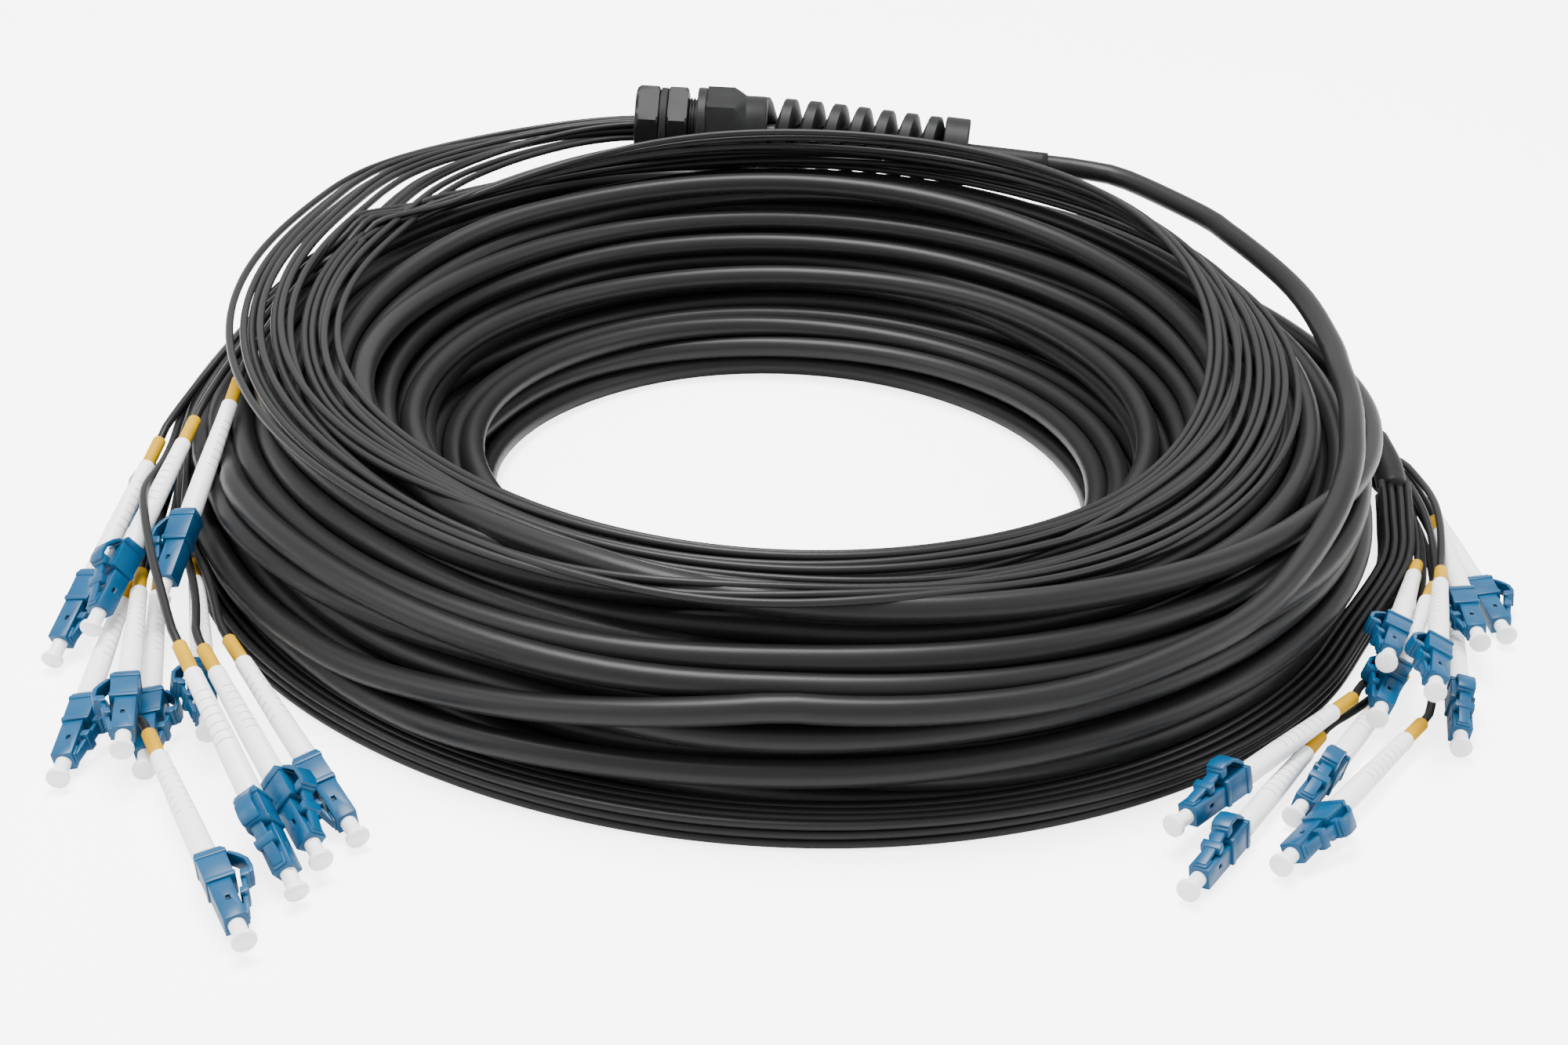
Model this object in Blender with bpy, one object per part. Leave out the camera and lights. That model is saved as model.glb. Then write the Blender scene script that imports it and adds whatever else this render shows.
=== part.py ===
"""Fibre breakout cable, coiled for storage.

A long black trunk cable lies in a round coil.  At one end it runs through a
cable gland with a bend protector, and twelve thin fibre legs leave the gland,
make one lap over the top of the coil and fan out at the left.  At the other
end a heat-shrunk breakout lets twelve legs go, which make one lap at the foot
of the coil and fan out at the right.  Each leg ends in a small form-factor
fibre connector with a kink boot and a dust cap.

Metres, +Z up.  The origin is the middle of the coil, on the surface that the
coil lies on.  +X is to the right and -Y towards the viewer.
"""
import math

import bmesh
import bpy
import numpy as np
from mathutils import Matrix, Vector

MM = 0.001
GAP = 0.3 * MM

# Cables
TRUNK_D = 6.2 * MM
LEG_D = 2.0 * MM
LEG_COUNT = 12
LEG_BUNDLE_D = 8.4 * MM

# The coil: its bore at the floor, where its crown runs, and its outside
COIL_BORE_R = 80.0 * MM
COIL_CROWN_R = 123.0 * MM
COIL_OUTER_R = 151.0 * MM
COIL_HEIGHT_BACK = 48.0 * MM
COIL_HEIGHT_FRONT = 41.0 * MM
COIL_INNER_FULLNESS = 1.4
COIL_OUTER_FULLNESS = 2.4
COIL_STEPS = 36
BUMP_POINTS = 3
LEG_RECESS_DEPTH = 5.0 * MM

# The gland, measured along its axis from the outer face of its lock nut
GLAND_END = Vector((-53.5, 141.6, 56.0)) * MM
GLAND_BEND_START = 40.0 * MM
GLAND_BEND_LENGTH = 22.0 * MM
GLAND_BEND = Vector((1.0, -0.105, -0.037))
HEX_ROLL = math.radians(-2.0)
DOME_HEX_ROLL = math.radians(19.3)
SIDES = 18
THREAD_D = 20.0 * MM
THREAD_CLEARANCE = 0.3 * MM
TRUNK_CLEARANCE = 0.5 * MM
GLAND_BORE_D = LEG_BUNDLE_D + 2 * GAP
LOCK_NUT_ACROSS_FLATS = 24.0 * MM
LOCK_NUT_LENGTH = 7.2 * MM
WASHER_D = 25.4 * MM
WASHER_LENGTH = 2.4 * MM
BODY_ACROSS_FLATS = 24.0 * MM
BODY_HEX_LENGTH = 6.0 * MM
NECK_LENGTH = 3.0 * MM
NECK_INSIDE_NUT = 4.0 * MM
DOME_FLANGE_D = 26.6 * MM
DOME_FLANGE_LENGTH = 2.8 * MM
DOME_ACROSS_FLATS = 24.0 * MM
DOME_HEX_LENGTH = 9.6 * MM
DOME_SHOULDER_LENGTH = 2.6 * MM
COLLAR_D = 23.0 * MM
COLLAR_LENGTH = 6.6 * MM
RIB_COUNT = 7
RIB_PITCH = 7.55 * MM
RIB_D = 23.0 * MM
RIB_TIP_WIDTH = 3.2 * MM
RIB_ROOT_WIDTH = 6.2 * MM
PROTECTOR_ROOT_D = 11.2 * MM
END_RING_D = 22.4 * MM
END_RING_LENGTH = 8.0 * MM

# Sleeves shrunk on the trunk's two ends
SHRINK_A_D = 8.0 * MM
SHRINK_A_LENGTH = 23.8 * MM
SHRINK_B_D = 8.4 * MM
SHRINK_B_LENGTH = 22.0 * MM
SHRINK_STEP = 0.2 * MM

# The connector on each leg, from its tip back
CAP_HEAD_D = 5.0 * MM
CAP_HEAD_LENGTH = 1.5 * MM
CAP_STEM_D = 3.3 * MM
CAP_LENGTH = 5.6 * MM
PLUG_WIDTH = 4.5 * MM
PLUG_LENGTH = 11.5 * MM
SHELL_WIDTH = 5.6 * MM
SHELL_HEIGHT = 6.2 * MM
SHELL_LIFT = 0.5 * MM
SHELL_LENGTH = 9.0 * MM
LATCH_RISE = 2.6 * MM
BOOT_BIG_D = 5.0 * MM
BOOT_SMALL_D = 3.8 * MM
BOOT_LENGTH = 36.0 * MM
SLEEVE_D = 3.2 * MM
SLEEVE_LENGTH = 8.5 * MM

# Where each connector lies: its cap's middle, its heading and how far its tail
# end is tipped up in degrees, and how far its latch is turned from the top.
CONNECTORS_A = {
    "a01": ((-164, -102, 3.0), -97, 20, 80),
    "a02": ((-164, -49, 3.0), -105, 23, -35),
    "a03": ((-140.5, -95, 16.2), -93, 21, -100),
    "a04": ((-153.5, -104, 13.0), -96, 17, -35),
    "a05": ((-148, -147, 3.0), -86, 6, 80),
    "a06": ((-134, -147, 11.0), -77, 2, -90),
    "a07": ((-131.5, -142.5, 3.0), -77, 5, 80),
    "a08": ((-119.5, -136, 8.7), -73, 2, -80),
    "a09": ((-97, -197, 4.4), -60, 3, 85),
    "a10": ((-91, -180.5, 3.3), -57, 16, -35),
    "a11": ((-88, -172.5, 5.0), -57, 9, 35),
    "a12": ((-83, -162, 3.0), -55, 8, -100),
}
CONNECTORS_B = {
    "b01": ((82, -149, 6.5), -133, 1, -15),
    "b02": ((83, -166, 3.2), -123, 0, -10),
    "b03": ((109, -139, 3.2), -122, 0, 10),
    "b04": ((103, -157, 3.8), -127, 0, 60),
    "b05": ((135.5, -97.5, 17.2), -110.5, -8, -75),
    "b06": ((142.5, -112, 19.0), -106, -5, -70),
    "b07": ((132.5, -108, 9.0), -114, -1, -75),
    "b08": ((152, -109, 3.0), -103, 0, 5),
    "b09": ((163.5, -76, 11), -96, -3, -100),
    "b10": ((176, -59, 3.4), -88, 0, 80),
    "b11": ((120, 114, 3.0), -36, 0, 0),
    "b12": ((34, 164, 3.0), -12, 0, 0),
}

# Routes in millimetres, chosen by hand.  The middle of each leg's free run
# from where its bundle opens to the back of its connector:
ROUTE_A = {
    "a01": [(-133, 34, 45), (-150, 0, 34)],
    "a02": [(-135, 40, 41)],
    "a03": [(-131, 38, 47), (-135, 0, 46)],
    "a04": [(-132, 36, 46), (-144, -4, 38)],
    "a05": [(-138, 38, 37), (-155, 0, 24), (-157, -45, 13)],
    "a06": [(-136, 37, 39), (-152, 0, 28), (-154, -45, 17)],
    "a07": [(-135, 37, 38), (-151, 0, 25), (-151, -45, 12)],
    "a08": [(-133, 36, 40), (-149, 0, 29), (-147, -42, 15)],
    "a09": [(-140, 40, 35), (-156, 5, 19), (-159, -20, 9), (-157, -42, 4), (-153.5, -76, 1.8),
            (-149, -97, 1.6), (-145, -112, 1.8), (-142.5, -121, 3.8), (-139.8, -127, 6.4),
            (-134.8, -131.6, 7.7)],
    "a10": [(-138, 36, 41), (-156, -16, 29), (-150.5, -43, 24.5), (-147.5, -82, 28), (-136, -105, 24.5)],
    "a11": [(-132, 35, 42), (-150, -8, 30), (-148, -45, 18), (-138, -78, 13), (-130, -98, 14)],
    "a12": [(-131, 35, 44), (-148, -8, 32), (-145, -45, 20), (-135, -76, 13), (-128, -93, 12)],
}
ROUTE_B = {
    "b01": [(165, -2, 4), (160, -30, 2), (149, -68, 2)],
    "b02": [(167, -2, 4), (162, -34, 2), (150, -72, 2), (134, -97, 1.6)],
    "b03": [(168, -2, 5), (162, -34, 3), (153, -62, 3)],
    "b04": [(169.5, 0, 3), (166, -28, 3), (157, -66, 4), (150, -92, 3)],
    "b05": [(167, 6, 8.5), (165.5, -8, 9.5), (163, -22, 9.5)],
    "b06": [(172, 4, 11), (168, -20, 15)],
    "b07": [(168, 6, 9), (168.5, -9, 10), (166, -24, 10.5), (163, -34, 9)],
    "b08": [(171, 6, 5), (170, -18, 2)],
    "b09": [(171, 10, 9)],
    "b10": [(172, 22, 4)],
}
FAN_A = Vector((-119.0, 62.0, 49.8))
FAN_B = Vector((164.5, 27.0, 6.5))
# Two legs leave their bundle behind the coil and stay there
LEAVE_BEHIND = {
    "b11": [(8, 155.5, 1.3), (28, 156.0, 1.4), (44, 160.5, 2.2)],
    "b12": [(-93.2, 124.6, 1.3), (-78, 145, 1.4), (-62, 166, 2.0)],
}


def solid(name, rings, colour, roughness, ends="caps", smooth=None):
    """A closed body skinned over rings of equal point count.

    The ends are flat caps, or the last ring joins the first when it is a loop.
    """
    mesh = bmesh.new()
    rows = [[mesh.verts.new(point) for point in ring] for ring in rings]
    count = len(rows[0])
    pairs = list(zip(rows, rows[1:]))
    if ends == "loop":
        pairs.append((rows[-1], rows[0]))
    for near, far in pairs:
        for i in range(count):
            j = (i + 1) % count
            mesh.faces.new((near[i], near[j], far[j], far[i]))
    if ends == "caps":
        mesh.faces.new(rows[0][::-1])
        mesh.faces.new(rows[-1])
    bmesh.ops.recalc_face_normals(mesh, faces=mesh.faces)
    if mesh.calc_volume(signed=True) < 0:
        bmesh.ops.reverse_faces(mesh, faces=mesh.faces)
    data = bpy.data.meshes.new(name)
    mesh.to_mesh(data)
    mesh.free()
    piece = bpy.data.objects.new(name, data)
    bpy.context.collection.objects.link(piece)
    data.materials.append(finish(name, colour, roughness))
    data.shade_smooth()
    data.set_sharp_from_angle(angle=math.radians(smooth or 35))
    return piece


def finish(name, colour, roughness):
    """A plain plastic or rubber finish for one sub-part."""
    material = bpy.data.materials.new(name + "_finish")
    material.use_nodes = True
    shader = material.node_tree.nodes["Principled BSDF"]
    shader.inputs["Base Color"].default_value = (*colour, 1.0)
    shader.inputs["Roughness"].default_value = roughness
    shader.inputs["Metallic"].default_value = 0.0
    return material


def smooth_points(route, spacing):
    """Evenly spaced points on a smooth curve through the route's own points."""
    knots = np.array(route, float)
    first = 2 * knots[0] - knots[1]
    last = 2 * knots[-1] - knots[-2]
    padded = np.vstack((first, knots, last))
    fine = []
    for a, b, c, d in zip(padded, padded[1:], padded[2:], padded[3:]):
        t = np.linspace(0.0, 1.0, 24, endpoint=False)[:, None]
        fine.append(0.5 * (2 * b + (c - a) * t + (2 * a - 5 * b + 4 * c - d) * t**2
                           + (3 * b - a - 3 * c + d) * t**3))
    fine = np.vstack((*fine, knots[-1:]))
    walked = np.concatenate(([0.0], np.cumsum(np.linalg.norm(np.diff(fine, axis=0), axis=1))))
    steps = max(2, round(walked[-1] / spacing))
    at = np.linspace(0.0, walked[-1], steps + 1)
    return np.stack([np.interp(at, walked, fine[:, k]) for k in range(3)], axis=1)


def tube(name, points, diameter, colour, roughness, roundness=2):
    """A round cable along the points, with flat ends."""
    curve = bpy.data.curves.new(name, "CURVE")
    curve.dimensions = "3D"
    curve.bevel_depth = diameter / 2
    curve.bevel_resolution = roundness
    curve.use_fill_caps = True
    curve.render_resolution_u = 0
    spline = curve.splines.new("POLY")
    spline.points.add(len(points) - 1)
    for point, place in zip(spline.points, points):
        point.co = (*place, 1.0)
    piece = bpy.data.objects.new(name, curve)
    bpy.context.collection.objects.link(piece)
    curve.materials.append(finish(name, colour, roughness))
    return piece


def circle(x, radius, sides, flats=None, roll=0.0):
    """A ring of points round the X axis, round or with six flats."""
    points = []
    for i in range(sides):
        angle = 2 * math.pi * i / sides
        r = radius
        if flats:
            to_corner = (angle + math.pi / 6) % (math.pi / 3) - math.pi / 6
            r = min(radius, flats / 2 / math.cos(math.pi / 6 - abs(to_corner)))
        points.append((x, r * math.sin(angle + roll), r * math.cos(angle + roll)))
    return points


def coil_height(angle):
    """The coil stands a little taller at the back than at the front."""
    middle = (COIL_HEIGHT_BACK + COIL_HEIGHT_FRONT) / 2
    swing = (COIL_HEIGHT_BACK - COIL_HEIGHT_FRONT) / 2
    return middle + swing * math.sin(angle)


def coil_top(radius, angle):
    """Height of the coil's surface at a radius, and below zero clear of it."""
    if radius > COIL_OUTER_R or radius < COIL_BORE_R:
        return -1.0
    if radius > COIL_CROWN_R:
        across = (radius - COIL_CROWN_R) / (COIL_OUTER_R - COIL_CROWN_R)
        fullness = COIL_OUTER_FULLNESS
    else:
        across = (COIL_CROWN_R - radius) / (COIL_CROWN_R - COIL_BORE_R)
        fullness = COIL_INNER_FULLNESS
    return coil_height(angle) * (1 - min(1.0, across) ** fullness) ** (1 / fullness)


def coil_section():
    """The coil's outline as (radius, share of its height), with a bump for each turn.

    The bumps run from the bore's foot over the crown to the recess at the
    outer foot, where the legs of the far end lie under the lowest turns.
    """
    wall = TRUNK_D / 2
    height = (COIL_HEIGHT_BACK + COIL_HEIGHT_FRONT) / 2
    recess_top = (LEG_BUNDLE_D + 2 * GAP) / height
    line = []
    for k in range(181):
        turn = math.pi * k / 180
        inner = turn < math.pi / 2
        fullness = COIL_INNER_FULLNESS if inner else COIL_OUTER_FULLNESS
        reach = COIL_CROWN_R - COIL_BORE_R if inner else COIL_OUTER_R - COIL_CROWN_R
        across = abs(math.cos(turn)) ** (2 / fullness)
        up = math.sin(turn) ** (2 / fullness)
        radius = COIL_CROWN_R + (reach - wall) * across * (-1 if inner else 1)
        share = (wall + (height - 2 * wall) * up) / height
        if inner or share > recess_top + wall / height:
            line.append((radius, share * height))
    line = np.array(line)
    walked = np.concatenate(([0.0], np.cumsum(np.linalg.norm(np.diff(line, axis=0), axis=1))))
    bumps = round(walked[-1] / TRUNK_D) + 1
    at = np.linspace(0.0, walked[-1], bumps)
    centres = np.stack([np.interp(at, walked, line[:, k]) for k in range(2)], axis=1)
    along = np.gradient(centres, axis=0)
    outline = [(COIL_BORE_R + wall, 0.0)]
    for centre, (dx, dz) in zip(centres, along):
        middle = math.atan2(dx, -dz)
        for k in range(BUMP_POINTS):
            swing = math.radians(38) * (2 * k / (BUMP_POINTS - 1) - 1)
            angle = middle - swing
            radius = centre[0] + wall * math.cos(angle)
            z = centre[1] + wall * math.sin(angle)
            outline.append((radius, max(z, 0.0) / height))
    shelf = COIL_OUTER_R - LEG_RECESS_DEPTH
    outline.append((shelf, recess_top))
    outline.append((shelf, 0.0))
    return outline


def build_coil():
    outline = coil_section()
    rings = []
    for step in range(COIL_STEPS):
        angle = 2 * math.pi * step / COIL_STEPS
        height = coil_height(angle)
        rings.append([(r * math.cos(angle), r * math.sin(angle), share * height)
                      for r, share in outline])
    solid("trunk_coil", rings, BLACK_JACKET, 0.55, ends="loop", smooth=50)


def gland_point(x):
    """A point on the gland's axis, x along it from the lock nut's outer face.

    The axis is straight through the nuts and bends in the bend protector.
    """
    past = max(0.0, x - GLAND_BEND_START)
    lean = past * past / (2 * GLAND_BEND_LENGTH)
    if past > GLAND_BEND_LENGTH:
        lean = past - GLAND_BEND_LENGTH / 2
    return GLAND_END + Vector((x, GLAND_BEND.y * lean, GLAND_BEND.z * lean))


def gland_ring(x, radius, sides, flats, roll):
    """A ring of points square to the gland's axis."""
    along = gland_point(x + 1 * MM) - gland_point(x - 1 * MM)
    turn = along.to_track_quat("X", "Z").to_matrix()
    centre = gland_point(x)
    return [centre + turn @ Vector((0.0, p[1], p[2])) for p in circle(0.0, radius, sides, flats, roll)]


def gland_piece(name, stations, colour, roughness, roll):
    """A gland piece from its loop of (x, radius, across flats) stations."""
    rings = [gland_ring(x, r, SIDES, flats, roll) for x, r, flats in stations]
    return solid(name, rings, colour, roughness, ends="loop", smooth=30)


def corner_radius(across_flats):
    return across_flats / math.sqrt(3)


def build_gland():
    """Lock nut, sealing washer, body and the dome nut with its bend protector."""
    thread_r = THREAD_D / 2
    clear_r = thread_r + THREAD_CLEARANCE
    bore_r = GLAND_BORE_D / 2
    nut_flats = LOCK_NUT_ACROSS_FLATS
    nut_r = corner_radius(nut_flats)
    chamfer = 1.0 * MM
    gland_piece("lock_nut", [
        (0.0, clear_r, None),
        (0.0, nut_r - chamfer * 1.2, None),
        (chamfer, nut_r, nut_flats),
        (LOCK_NUT_LENGTH, nut_r, nut_flats),
        (LOCK_NUT_LENGTH, clear_r, None),
    ], BLACK_NYLON, 0.5, HEX_ROLL)
    washer_start = LOCK_NUT_LENGTH + GAP
    washer_end = washer_start + WASHER_LENGTH
    gland_piece("sealing_washer", [
        (washer_start, clear_r, None),
        (washer_start, WASHER_D / 2, None),
        (washer_end, WASHER_D / 2, None),
        (washer_end, clear_r, None),
    ], BLACK_RUBBER, 0.7, HEX_ROLL)
    hex_start = washer_end + GAP
    hex_end = hex_start + BODY_HEX_LENGTH
    neck_end = hex_end + NECK_LENGTH + NECK_INSIDE_NUT
    body_r = corner_radius(BODY_ACROSS_FLATS)
    gland_piece("gland_body", [
        (chamfer, bore_r, None),
        (chamfer, thread_r, None),
        (hex_start, thread_r, None),
        (hex_start, body_r, BODY_ACROSS_FLATS),
        (hex_end - chamfer, body_r, BODY_ACROSS_FLATS),
        (hex_end, body_r - chamfer, BODY_ACROSS_FLATS),
        (hex_end, thread_r, None),
        (neck_end, thread_r, None),
        (neck_end, bore_r, None),
    ], BLACK_NYLON, 0.5, HEX_ROLL)
    dome_start = hex_end + NECK_LENGTH
    flange_end = dome_start + DOME_FLANGE_LENGTH
    dome_hex_end = flange_end + DOME_HEX_LENGTH
    collar_start = dome_hex_end + DOME_SHOULDER_LENGTH
    collar_end = collar_start + COLLAR_LENGTH
    root_r = PROTECTOR_ROOT_D / 2
    dome_r = corner_radius(DOME_ACROSS_FLATS)
    trunk_hole_r = TRUNK_D / 2 + TRUNK_CLEARANCE
    stations = [
        (dome_start, clear_r, None),
        (dome_start, DOME_FLANGE_D / 2, None),
        (flange_end, DOME_FLANGE_D / 2, None),
        (flange_end, dome_r, DOME_ACROSS_FLATS),
        (dome_hex_end, dome_r, DOME_ACROSS_FLATS),
        (collar_start, COLLAR_D / 2, None),
        (collar_end, COLLAR_D / 2, None),
        (collar_end, root_r, None),
    ]
    first_rib = collar_end + RIB_PITCH * 0.6
    for k in range(RIB_COUNT):
        middle = first_rib + RIB_PITCH * k
        stations += [
            (middle - RIB_ROOT_WIDTH / 2, root_r, None),
            (middle - RIB_TIP_WIDTH / 2, RIB_D / 2, None),
            (middle + RIB_TIP_WIDTH / 2, RIB_D / 2, None),
            (middle + RIB_ROOT_WIDTH / 2, root_r, None),
        ]
    ring_start = first_rib + RIB_PITCH * (RIB_COUNT - 1) + RIB_ROOT_WIDTH / 2 + GAP
    ring_end = ring_start + END_RING_LENGTH
    stations += [
        (ring_start, root_r, None),
        (ring_start, END_RING_D / 2, None),
        (ring_end, END_RING_D / 2, None),
    ]
    bore_start = neck_end + 3 * MM
    for k in range(9):
        stations.append((ring_end + (bore_start - ring_end) * k / 8, trunk_hole_r, None))
    stations.append((neck_end + GAP, clear_r, None))
    gland_piece("dome_nut_bend_protector", stations, BLACK_NYLON, 0.5, DOME_HEX_ROLL)
    return neck_end, ring_end


def sleeve_on_cable(name, route, cable_d, outer_d, colour):
    """A heat-shrink sleeve round a cable, along its route."""
    rings = []
    points = [Vector(p) for p in route]
    for loop, radius in (("in", cable_d / 2 + TRUNK_CLEARANCE), ("out", outer_d / 2)):
        order = points if loop == "in" else points[::-1]
        for index, point in enumerate(order):
            i = index if loop == "in" else len(points) - 1 - index
            ahead = points[min(i + 1, len(points) - 1)] - points[max(i - 1, 0)]
            turn = ahead.to_track_quat("X", "Z").to_matrix()
            ends = index in (0, len(points) - 1) and loop == "out"
            r = radius - (SHRINK_STEP if ends else 0.0)
            rings.append([point + turn @ Vector(p) for p in circle(0.0, r, SIDES)])
    return solid(name, rings, colour, 0.5, ends="loop")


def octagon(x, width, height, corner, lift=0.0):
    """Eight points of an upright rectangle with cut corners, in the plane at x."""
    w, h = width / 2, height / 2
    return [(x, -w + corner, h + lift), (x, w - corner, h + lift),
            (x, w, h - corner + lift), (x, w, -h + corner + lift),
            (x, w - corner, -h + lift), (x, -w + corner, -h + lift),
            (x, -w, -h + corner + lift), (x, -w, h - corner + lift)]


def round_eight(x, diameter):
    """Eight points of a round section, in the order that octagon gives them."""
    return octagon(x, diameter, diameter, diameter / 2 * (2 - math.sqrt(2)))


def connector_length():
    return CAP_LENGTH + PLUG_LENGTH + SHELL_LENGTH + BOOT_LENGTH + SLEEVE_LENGTH


def build_connector(name, place):
    """Dust cap, plug with its latch, kink boot and yellow sleeve, as one solid.

    It is modelled with its tip at the origin and its tail along -X.
    """
    centre, heading, tip_up, latch_turn = place
    cut = 0.5 * MM
    plug_start = -CAP_LENGTH
    shell_start = plug_start - PLUG_LENGTH
    boot_start = shell_start - SHELL_LENGTH
    boot_end = boot_start - BOOT_LENGTH
    latch_height = PLUG_WIDTH + LATCH_RISE
    shell_height = SHELL_HEIGHT + LATCH_RISE
    rings = [
        round_eight(0.0, CAP_HEAD_D),
        round_eight(-CAP_HEAD_LENGTH, CAP_HEAD_D),
        round_eight(-CAP_HEAD_LENGTH, CAP_STEM_D),
        round_eight(plug_start, CAP_STEM_D),
        octagon(plug_start, PLUG_WIDTH, PLUG_WIDTH, cut),
        octagon(shell_start, PLUG_WIDTH, latch_height, cut, LATCH_RISE / 2),
        octagon(shell_start, SHELL_WIDTH, shell_height, cut, SHELL_LIFT + LATCH_RISE / 2),
        octagon(boot_start, SHELL_WIDTH, SHELL_HEIGHT, cut, SHELL_LIFT),
        round_eight(boot_start, BOOT_BIG_D),
        round_eight(boot_end, BOOT_SMALL_D),
        round_eight(boot_end, SLEEVE_D),
        round_eight(boot_end - SLEEVE_LENGTH, SLEEVE_D),
    ]
    piece = solid(name, rings, PLUG_BLUE, 0.35)
    forward = direction(heading, tip_up)
    side = Vector((0.0, 0.0, 1.0)).cross(forward).normalized()
    up = forward.cross(side)
    turned_up = up * math.cos(math.radians(latch_turn)) + side * math.sin(math.radians(latch_turn))
    turned_side = turned_up.cross(forward)
    axes = Matrix((forward, turned_side, turned_up)).transposed()
    tip = Vector(centre) * MM + forward * CAP_HEAD_LENGTH / 2
    piece.matrix_world = Matrix.Translation(tip) @ axes.to_4x4()
    return piece


def direction(heading, tip_up):
    """The way a connector points: its heading, and down by the tip of its tail."""
    level = math.cos(math.radians(tip_up))
    return Vector((level * math.cos(math.radians(heading)),
                   level * math.sin(math.radians(heading)),
                   -math.sin(math.radians(tip_up))))


def connector_axis(place):
    """The tip and the tail end of a connector, and the way it points."""
    centre, heading, tip_up, _ = place
    forward = direction(heading, tip_up)
    tip = Vector(centre) * MM + forward * CAP_HEAD_LENGTH / 2
    return tip, tip - forward * connector_length(), forward


def bundle_slots(centre, along, count):
    """Places of the legs in the end face of their bundle: three round nine."""
    across = along.cross(Vector((0.0, 0.0, 1.0))).normalized()
    up = across.cross(along)
    pitch = LEG_D + 2 * GAP
    inner, outer = 3, count - 3
    places = []
    for ring, members in ((1, inner), (2, outer)):
        radius = pitch * (0.6 if ring == 1 else 1.55)
        for k in range(members):
            angle = 2 * math.pi * k / members + 0.3 * ring
            places.append(centre + (across * math.cos(angle) + up * math.sin(angle)) * radius)
    return places


def matched(starts, targets):
    """Gives each target the start that lies most on its side, nearest target first."""
    free = list(starts)
    chosen = {}
    for name, target in sorted(targets.items(), key=lambda item: -(item[1] - starts[0]).length):
        best = min(free, key=lambda start: (start - target).length)
        free.remove(best)
        chosen[name] = best
    return chosen


def part_legs(legs, obstacles, rounds=320):
    """Pushes crossing legs apart until each lies clear beside or over the others.

    Each leg keeps its first and last points.  Obstacles are balls, as rows of
    x, y, z and radius, and the coil and the floor carry the legs as well.
    """
    names = list(legs)
    owner = np.concatenate([np.full(len(legs[n]), i) for i, n in enumerate(names)])
    at = np.vstack([legs[n] for n in names])
    fixed = np.zeros(len(at), bool)
    for i in range(len(names)):
        own = np.flatnonzero(owner == i)
        fixed[own[:3]] = True
        fixed[own[-3:]] = True
    inner = np.flatnonzero(owner[2:] == owner[:-2]) + 1
    need = LEG_D + 2 * GAP
    other = owner[:, None] != owner[None, :]
    for turn in range(rounds):
        gap = at[:, None, :] - at[None, :, :]
        far = np.linalg.norm(gap, axis=2) + 1e-9
        short = np.where(other & (far < need), need - far, 0.0)
        move = (gap / far[:, :, None] * short[:, :, None]).sum(axis=1) * 0.4
        gap = at[:, None, :] - obstacles[None, :, :3]
        far = np.linalg.norm(gap, axis=2) + 1e-9
        short = np.maximum(obstacles[None, :, 3] + LEG_D / 2 + GAP - far, 0.0)
        move += (gap / far[:, :, None] * short[:, :, None]).sum(axis=1) * 0.7
        radius = np.hypot(at[:, 0], at[:, 1])
        top = [coil_top(r, math.atan2(y, x)) for r, (x, y, z) in zip(radius, at)]
        carry = np.array(top) + LEG_D / 2 + 4 * GAP - at[:, 2]
        on_coil = (carry > 0) & (radius < COIL_OUTER_R)
        move[on_coil, 2] += np.minimum(carry[on_coil], 0.6 * MM)
        beside = (radius >= COIL_OUTER_R) & (radius < COIL_OUTER_R + LEG_D / 2 + 2 * GAP)
        beside &= at[:, 2] < COIL_HEIGHT_FRONT / 2
        push = (COIL_OUTER_R + LEG_D / 2 + 2 * GAP - radius) / radius
        move[beside, :2] += at[beside, :2] * push[beside, None]
        for _ in range(4):
            spread = move.copy()
            spread[inner] = move[inner - 1] / 4 + move[inner] / 2 + move[inner + 1] / 4
            move = spread
        stiffness = 0.5 * max(0.0, 1 - turn / (rounds * 0.8))
        move[inner] += ((at[inner - 1] + at[inner + 1]) / 2 - at[inner]) * stiffness
        move[fixed] = 0.0
        at += move
        at[:, 2] = np.maximum(at[:, 2], LEG_D / 2)
    return {n: at[owner == i] for i, n in enumerate(names)}


def connector_balls(places):
    """Balls that fill the connectors, for the legs to keep clear of."""
    balls = []
    for place in places.values():
        tip, tail, forward = connector_axis(place)
        side = Vector((0.0, 0.0, 1.0)).cross(forward).normalized()
        latch = math.radians(place[3])
        latch_way = forward.cross(side) * math.cos(latch) + side * math.sin(latch)
        for k in range(34):
            back = k * 2.0 * MM
            centre = tip - forward * back
            radius = 2.6 * MM
            if back > CAP_LENGTH + PLUG_LENGTH / 2:
                centre += latch_way * 0.8 * MM
                radius = 3.6 * MM
            if back > CAP_LENGTH + PLUG_LENGTH + SHELL_LENGTH:
                centre = tip - forward * back
                radius = 2.5 * MM
            if back < connector_length() - SLEEVE_LENGTH:
                balls.append((*centre, radius))
    return balls


def bundle_balls(points):
    return [(*point, LEG_BUNDLE_D / 2) for point in points]


def build_legs(places, routes, fan, along, obstacles):
    """The free run of each leg, from its bundle's open end to its connector."""
    starts = bundle_slots(fan * MM + along * 2 * GAP, along, LEG_COUNT)
    names = list(routes)
    targets = {n: Vector(routes[n][0]) * MM for n in names}
    chosen = matched(starts, targets)
    runs = {}
    for name in names:
        _, tail, forward = connector_axis(places[name])
        start = chosen[name]
        route = [start, start + along * 5 * MM]
        route += [Vector(p) * MM for p in routes[name]]
        route += [tail - forward * 6 * MM, tail - forward * 2 * GAP]
        runs[name] = smooth_points(route, LEG_D)
    runs = part_legs(runs, np.array(obstacles))
    for name in names:
        tube("leg_" + name, smooth_points(runs[name], 3.5 * LEG_D), LEG_D, BLACK_JACKET, 0.5)


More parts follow.
